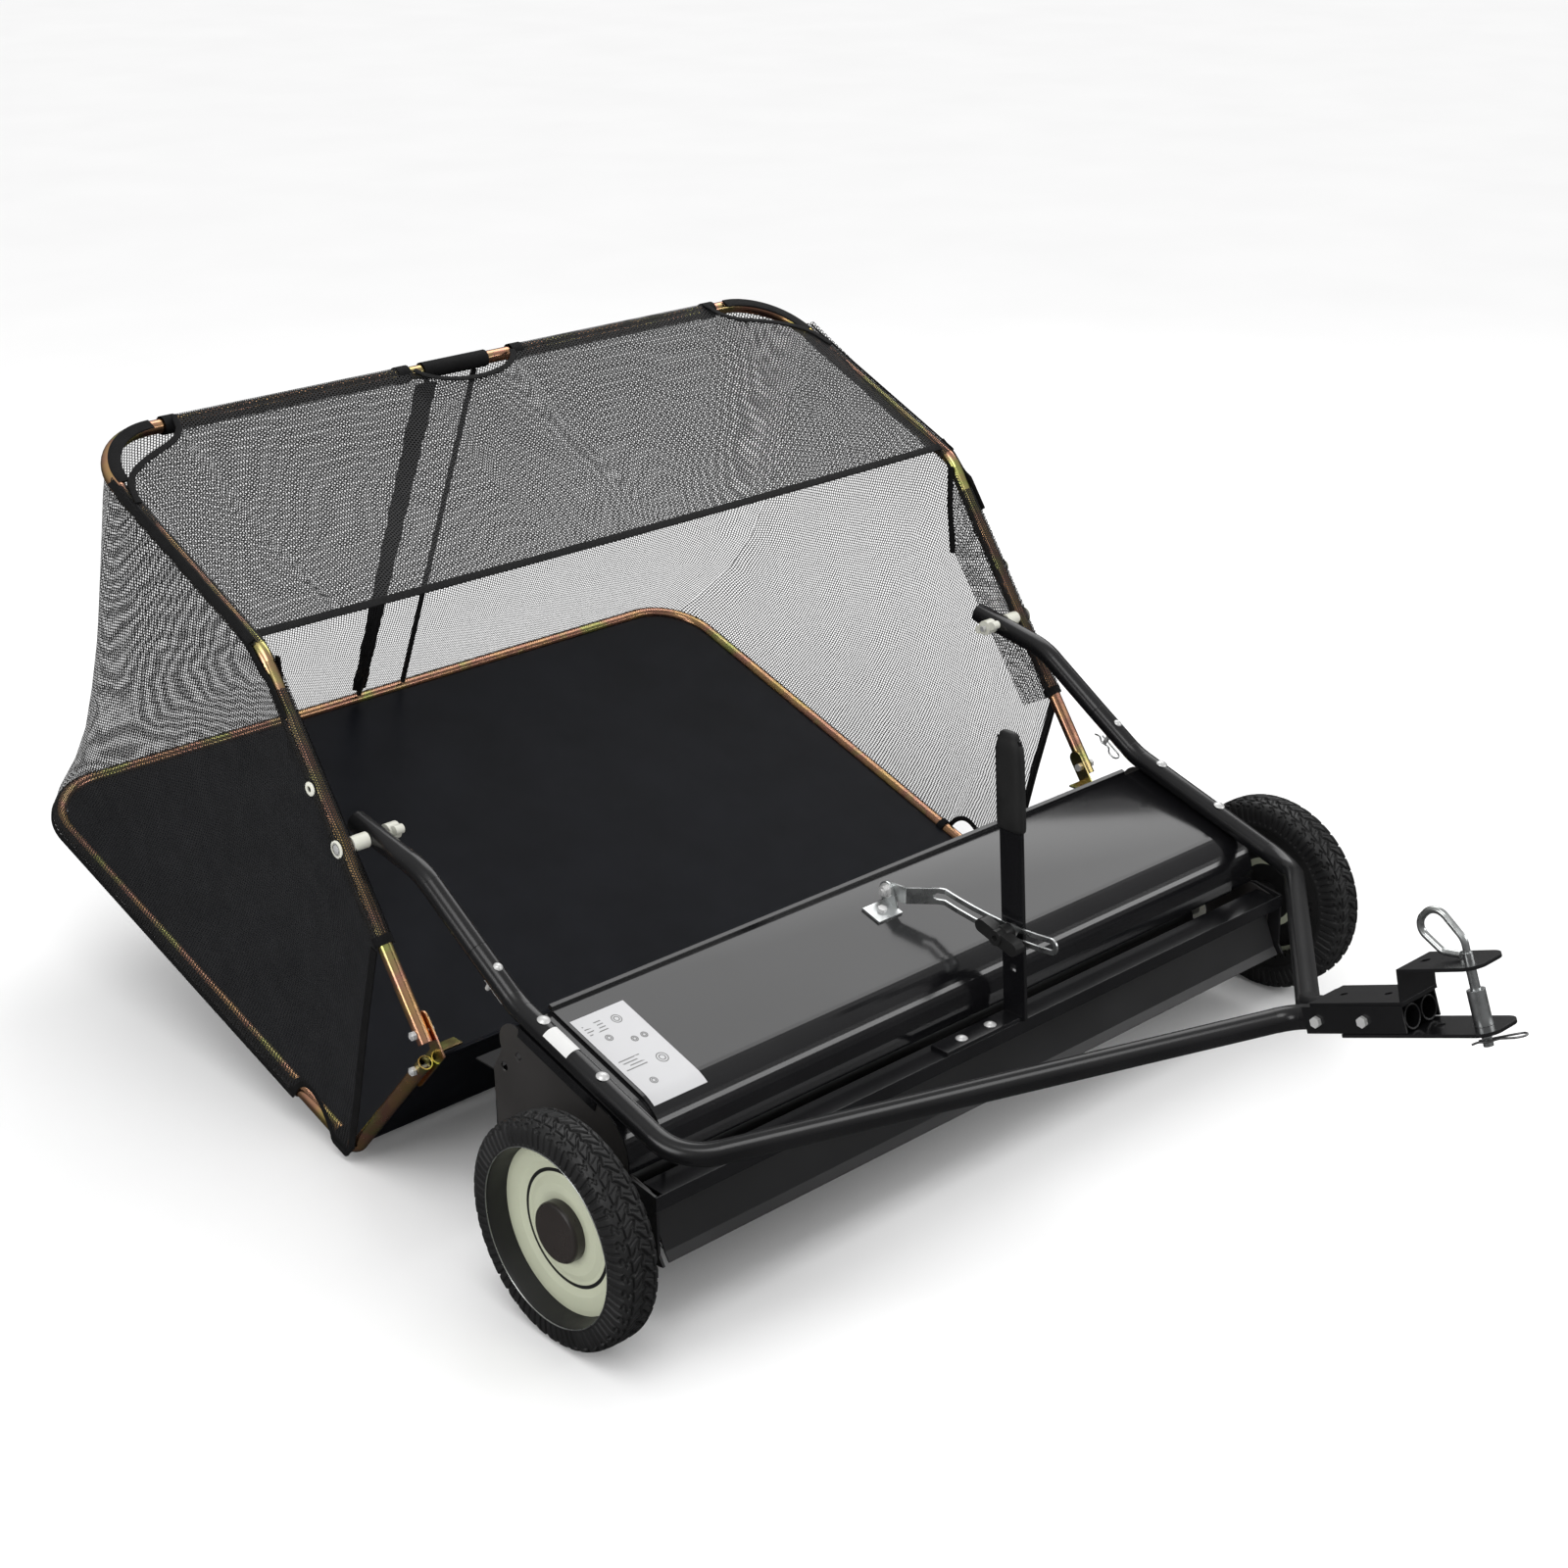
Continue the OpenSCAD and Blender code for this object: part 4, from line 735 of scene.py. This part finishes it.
def roof():
    nu, nv = 150, 60
    xs = np.linspace(-OUT + 1, OUT - 1, nu)
    side_dir = (TOP - BEND) / np.linalg.norm(TOP - BEND)
    g = np.zeros((nv, nu, 3))
    for j, x in enumerate(xs):
        k = 1 - (x / OUT) ** 2
        front = np.array([x, BEND[0] + 16 + 26 * k, BEND[1] + 15 - 14 * k])
        if abs(x) > FX - 4:
            front[2] -= 5 * (abs(x) - FX + 4) / 14
        back = roof_rear(x)
        for i in range(nv):
            s = i / (nv - 1)
            p = front * (1 - s) + back * s
            belly = k * 4 * s * (1 - s)
            p = p + np.array([0, 3 * belly, -22 * belly])
            p[2] += (2.2 * math.sin(x / 61 + 5 * s) + 1.3 * math.sin(x / 23 - 8 * s)) * belly
            g[i, j] = p
    o = cloth("mesh_roof", g, "mesh", "hopper")
    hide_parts("bag_roof")
    return g


roof_grid = roof()


def rear_panel():
    top_pts = [(-613, 912, 812)]
    top_pts += [tuple(p + np.array([0, 8, -6])) for p in upper_half if p[1] > 912 and p[0] > -FX + 2]
    top_pts += [(-a, b, c) for a, b, c in top_pts[::-1]]
    low_pts = [tuple(p) for p in hem_half[HALF_BEND:]]
    low_pts += [(-a, b, c) for a, b, c in low_pts[::-1]]
    left = along([(-x, y, z) for x, y, z in SEAM])
    g = coons(along(low_pts), along(top_pts), left, along(SEAM), 150, 60)
    u = np.linspace(0, 1, 150)[None, :]
    v = np.linspace(0, 1, 60)[:, None]
    belly = (1 - np.abs(2 * u - 1) ** 6) * (4 * v * (1 - v))
    g[:, :, 1] += 6 * belly + 2.0 * np.sin(16 * u + 3 * v) * belly
    o = cloth("mesh_rear", g, "mesh_thin", "hopper", flip=True)
    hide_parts("bag_rear")


rear_panel()


def tape(name, pts, width=12, thick=1.8, up=(0, 0, 1), step=8, jitter=0.0):
    path, _ = resample(np.array(pts, float), step)
    return sweep(name, path, flat(width, thick), "tape", "hopper", up=up, jitter=jitter)


tape("tape_roof_front", [tuple(p + np.array([0, 0, 0.8])) for p in roof_grid[0]], 13, 2.0, up=(0, -0.4, 0.9))
edge = roof_grid[-1]
for name, lo, hi in (("centre", -92, 92), ("right", -606, -464), ("left", 464, 606)):
    pts = [tuple(p + np.array([0, -1, 1.2])) for p in edge if lo <= p[0] <= hi]
    tape("tape_cut_" + name, pts, 9, 2.4, up=(0, -0.4, 0.9), step=5)
# Band that cuts across each rear top corner, just inside the tube's bend
pivot_of_bend = np.array([-FX + 100, *(TOP - 100 * top_u)])
for sx, side in ((-1, "right"), (1, "left")):
    xo = sx * (OUT + 0.8)
    out = (sx, 0, 0)
    corner = []
    for q in upper_half:
        if q[1] > 872 and q[0] < -470:
            d = pivot_of_bend - q
            d[2] -= d[1] * top_u[1] / top_u[0]
            d /= np.linalg.norm(d)
            corner.append(tuple((q + d * 6.5 + np.array([0, -3.4, 8.2])) * np.array([-sx, 1, 1])))
    tape("tape_corner_" + side, corner, 17, 3.0, up=(0, -0.4, 0.92), step=5)
    mouth = [(xo * x / OUT, y, z) for x, y, z in MOUTH]
    tape("tape_side_front_" + side, mouth, 13, 2.0, up=out)
    low = [q for q in side_bottom(sx)]
    tape("tape_side_low_" + side, low, 8, 3.0, up=out, step=5)
    seam_top = [(sx * (OUT - 1), *(BEND + (TOP - BEND) * s + np.array([-2, 8]))) for s in np.linspace(0.02, 0.78, 24)]
    tape("tape_roof_side_" + side, seam_top, 11, 2.2, up=(sx * 0.6, -0.3, 0.7))
    bend_edge = [(xo, *(LEG + leg_u * s + [-5, 5])) for s in (440, 470, 490)]
    bend_edge += [(xo, *(LEG + leg_u * 505 + [0, 0])), (xo, *(BEND + [6, 1])), (xo, *(BEND + [30, 18]))]
    tape("tape_bend_" + side, bend_edge, 11, 2.4, up=out, step=5)
    hem_edge = [(sx * (FX - 13.5), 592, 652), (sx * (FX - 14.5), 590, 590), (sx * (FX - 15.5), 581, 520)]
    tape("tape_hem_" + side, hem_edge, 11, 2.0, up=out)


def sleeve(name, pts, r=11.2, look="sleeve", jitter=0.0, step=8):
    path, _ = resample(np.array(pts, float), step)
    return sweep(name, path, circle(r, 18), look, "hopper", caps=False, jitter=jitter)


def part_of(line, start, end):
    """The stretch of a polyline between two distances along it."""
    path, s = resample(line, 3)
    return path[(s >= start) & (s <= end)]


def hem_wrap(name, line, r=10.6):
    """Mesh drawn round the outer half of the lower tube, open towards the hopper's inside."""
    path, _ = resample(np.array(line, float), 9)
    turns = np.radians(np.linspace(-115, 62, 14))
    sweep(name, path, [(-r * math.cos(a), r * math.sin(a)) for a in turns], "hem", "hopper",
          caps=False, closed=False)


for sx, side in ((-1, "right"), (1, "left")):
    flip = np.array([-sx, 1, 1])
    sleeve("sleeve_leg_" + side, part_of(upper_half, 148, 478) * flip, 11.6)
    ring = part_of(upper_half, 143, 157) * flip
    sleeve("sleeve_leg_end_" + side, ring, 12.6, "tape", step=3)
    sleeve("sleeve_roof_" + side, part_of(upper_half, 536, 862) * flip, 11.3)
    sleeve("sleeve_corner_" + side, [(sx * FX, *(LOW + RAIL * s)) for s in (6, 20, 34)], 11.8, "tape", step=3)
    ring = [(sx * FX, *(LOW + RAIL * s)) for s in (122, 134)]
    sleeve("sleeve_low_end_" + side, ring, 11.8, "tape", step=3)
    rail_pts = [(sx * x, TOP[0], TOP[1]) for x in (94, 250, 460)]
    sleeve("sleeve_top_" + side, rail_pts, 11.4)
    for k, x in enumerate((100, 474)):
        sleeve(f"sleeve_top_end_{side}_{k}", [(sx * (x - 10), *TOP), (sx * (x + 10), *TOP)], 12.8, "tape", step=3)
hem_line = np.vstack([lower_half, lower_half[::-1][1:] * np.array([-1, 1, 1])])
span = float(np.linalg.norm(np.diff(hem_line, axis=0), axis=1).sum())
hem_wrap("hem_wrap", part_of(hem_line, 128, span - 128))
sleeve("sleeve_top_centre", [(-66, *TOP), (0, *TOP), (46, *TOP)], 12.2, "tape")


def rod_cover():
    """Loose black sleeve hanging round the right support rod."""
    lo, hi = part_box("support_rods")
    foot = np.array([-55, REAR[0] - 7, REAR[1] + 12.5])
    head = np.array([-55, TOP[0] + 1, TOP[1] - 14])
    path = np.array([foot + (head - foot) * s for s in np.linspace(0.02, 0.985, 60)])
    widths = [1.0 + 0.55 * s / 59 + 0.1 * math.sin(s * 0.9) + rng.uniform(-0.06, 0.06) for s in range(60)]
    sec = [(a * 12, 5.2 * b) for a, b in circle(1, 16)]
    sweep("rod_sleeve", path, sec, "tape", "hopper", up=(0, -1, 0.4), widths=widths, jitter=0.25)


rod_cover()


# ---- small fittings ----

def disc(name, x, y, z, r, thick, look, body, sx, hole=0.0, dome=1.0):
    """A flat-sided button on a side face, domed outwards."""
    rings = [(0.0, r), (thick * 0.6, r), (thick * 0.9, r * 0.9), (thick * (0.9 + 0.1 * dome), r * 0.55)]
    rings += [(thick, hole), (thick * 0.3, hole)] if hole else [(thick * (1 + 0.1 * dome), 0.2)]
    n, verts = 28, []
    for h, rad in rings:
        for k in range(n):
            a = 2 * math.pi * k / n
            verts.append(P(x + sx * h, y + rad * math.cos(a), z + rad * math.sin(a)))
    return piece(name, verts, grid_faces(len(rings), n, wrap_cols=True), look, body)


for sx, side in ((-1, "right"), (1, "left")):
    disc("eyelet_" + side, sx * (FX + 11.4), 502, 513, 9, 2.4, "nylon", "hopper", sx, hole=4)
    disc("pivot_grommet_" + side, sx * (FX + 9.6), PIVOT[1], PIVOT[2], 11.5, 2.2, "nylon", "hopper", sx, hole=8.6)

# Instruction label on the cover, following its top and rounded front
SLOPE = math.radians(16.4)


def cover_line(off):
    r = 60 + off
    cy = 15 + 60 * math.sin(SLOPE)
    cz = 284 + (15 - 100) * math.tan(SLOPE) - 60 * math.cos(SLOPE)
    pts = []
    top = np.array([cy - r * math.sin(SLOPE), cz + r * math.cos(SLOPE)])
    for s in np.linspace(1, 0, 24):
        pts.append(top + s * 136 * np.array([math.cos(SLOPE), math.sin(SLOPE)]))
    for a in np.linspace(90 + 16.4, 128, 12)[1:]:
        pts.append(np.array([cy + r * math.cos(math.radians(a)), cz + r * math.sin(math.radians(a))]))
    return np.array(pts)


def label():
    line = cover_line(0.35)
    d = np.r_[0, np.cumsum(np.linalg.norm(np.diff(line, axis=0), axis=1))]
    xs = np.linspace(-513, -432, 12)
    verts, uvs = [], []
    for (y, z), s in zip(line, d):
        for x in xs:
            verts.append(P(x, y, z))
            uvs.append(((x + 513) / 81, 1 - s / d[-1]))
    piece("instruction_label", verts, grid_faces(len(line), len(xs)), "label", "chassis", uvs, angle=0)


label()


def tube_sticker(name, y0, y1, a0, a1):
    verts = []
    ys, angs = np.linspace(y0, y1, 8), np.radians(np.linspace(a0, a1, 12))
    for y in ys:
        z = 236 + (y + 100) * math.tan(SLOPE)
        for a in angs:
            r = 14.35
            verts.append(P(-557 + r * math.cos(a), y - r * math.sin(a) * math.sin(SLOPE),
                           z + r * math.sin(a) * math.cos(SLOPE)))
    piece(name, verts, grid_faces(len(ys), len(angs)), "sticker", "chassis", angle=0)


tube_sticker("tube_sticker", 126, 84, 60, 150)

# ---- stage, light and camera ----

def area(name, loc, target, size, power, long_way=(1, 0, 0)):
    """A soft box at loc facing target, its first side along long_way."""
    d = bpy.data.lights.new(name, "AREA")
    d.energy, d.size = power, size[0]
    d.shape, d.size_y = "RECTANGLE", size[1]
    o = bpy.data.objects.new(name, d)
    bpy.context.scene.collection.objects.link(o)
    back = (Vector(loc) - Vector(target)).normalized()
    side = Vector(long_way)
    side = (side - back * side.dot(back)).normalized()
    turn = Matrix((side, back.cross(side), back)).transposed().to_4x4()
    o.matrix_world = Matrix.Translation(loc) @ turn


area("overhead", (2.0, 1.25, 2.65), (0, -0.25, 0.3), (3.0, 1.9), 33, (1.52, -0.15, -0.42))
area("front strip", (1.98, -2.2, 1.5), (0, -0.33, 0.27), (2.8, 0.4), 15, (1.52, 0.38, -0.24))
area("key", (-1.6, -1.0, 3.4), (0, 0, 0.3), (1.6, 1.6), 24)
area("side", (-3.4, 0.0, 1.3), (0, 0, 0.2), (1.4, 1.4), 20, (0, 1, 0))
world = bpy.data.worlds.new("studio")
bpy.context.scene.world = world
world.use_nodes = True
wn, wl = world.node_tree.nodes, world.node_tree.links
bg = wn["Background"]
coord = wn.new("ShaderNodeTexCoord")
sep = wn.new("ShaderNodeSeparateXYZ")
wl.new(coord.outputs["Generated"], sep.inputs[0])
# Reflections see a dimmer room than the eye does, so black paint stays black
rays = wn.new("ShaderNodeLightPath")
ramp = wn.new("ShaderNodeValToRGB")
for s, (pos, v) in zip(ramp.color_ramp.elements, ((0.0, 0.1), (0.9, 0.42))):
    s.position, s.color = pos, (v, v, v, 1)
wl.new(sep.outputs[2], ramp.inputs["Fac"])
mix = wn.new("ShaderNodeMix")
mix.data_type = "RGBA"
wl.new(rays.outputs["Is Glossy Ray"], mix.inputs["Factor"])
mix.inputs["A"].default_value = (1, 1, 1, 1)
wl.new(ramp.outputs["Color"], mix.inputs["B"])
wl.new(mix.outputs["Result"], bg.inputs["Color"])
bg.inputs["Strength"].default_value = 1.08
me = bpy.data.meshes.new("studio_floor")
me.from_pydata([(-40, -40, 0), (40, -40, 0), (40, 40, 0), (-40, 40, 0)], [], [(0, 1, 2, 3)])
floor_m = Mat("studio floor")
# The eye sees the floor pale, but glossy rays see it dark grey: a painted dark reflection of the floor on the machine's
# shiny parts
reflection_ray = floor_m.n.new("ShaderNodeLightPath").outputs["Is Glossy Ray"]
pale = floor_m.ramp(floor_m.noise(2, 2), [(0.3, (0.86, 0.86, 0.86)), (0.7, (0.88, 0.88, 0.88))])
floor_tone_dim_in_reflections = floor_m.n.new("ShaderNodeMix")
floor_tone_dim_in_reflections.data_type = "RGBA"
floor_m.link(reflection_ray, floor_tone_dim_in_reflections.inputs["Factor"])
floor_m.link(pale, floor_tone_dim_in_reflections.inputs["A"])
floor_tone_dim_in_reflections.inputs["B"].default_value = (0.06, 0.06, 0.06, 1)
floor_m.set(Base_Color=floor_tone_dim_in_reflections.outputs["Result"], Roughness=0.85)
floor_m.b.inputs["Specular IOR Level"].default_value = 0.0
me.materials.append(floor_m.m)
floor = bpy.data.objects.new("studio_floor", me)
bpy.context.scene.collection.objects.link(floor)

cam_d = bpy.data.cameras.new("camera")
cam_d.lens, cam_d.sensor_width = 60.82, 36
cam = bpy.data.objects.new("camera", cam_d)
bpy.context.scene.collection.objects.link(cam)
cam.location = P(-2202, -2020, 1774)
az, el = math.radians(-43.19), math.radians(23.22)
look = Vector((-math.sin(az) * math.cos(el), math.cos(az) * math.cos(el), -math.sin(el)))
cam.rotation_euler = look.to_track_quat("-Z", "Y").to_euler()
bpy.context.scene.camera = cam
bpy.context.scene.view_settings.view_transform = "Standard"
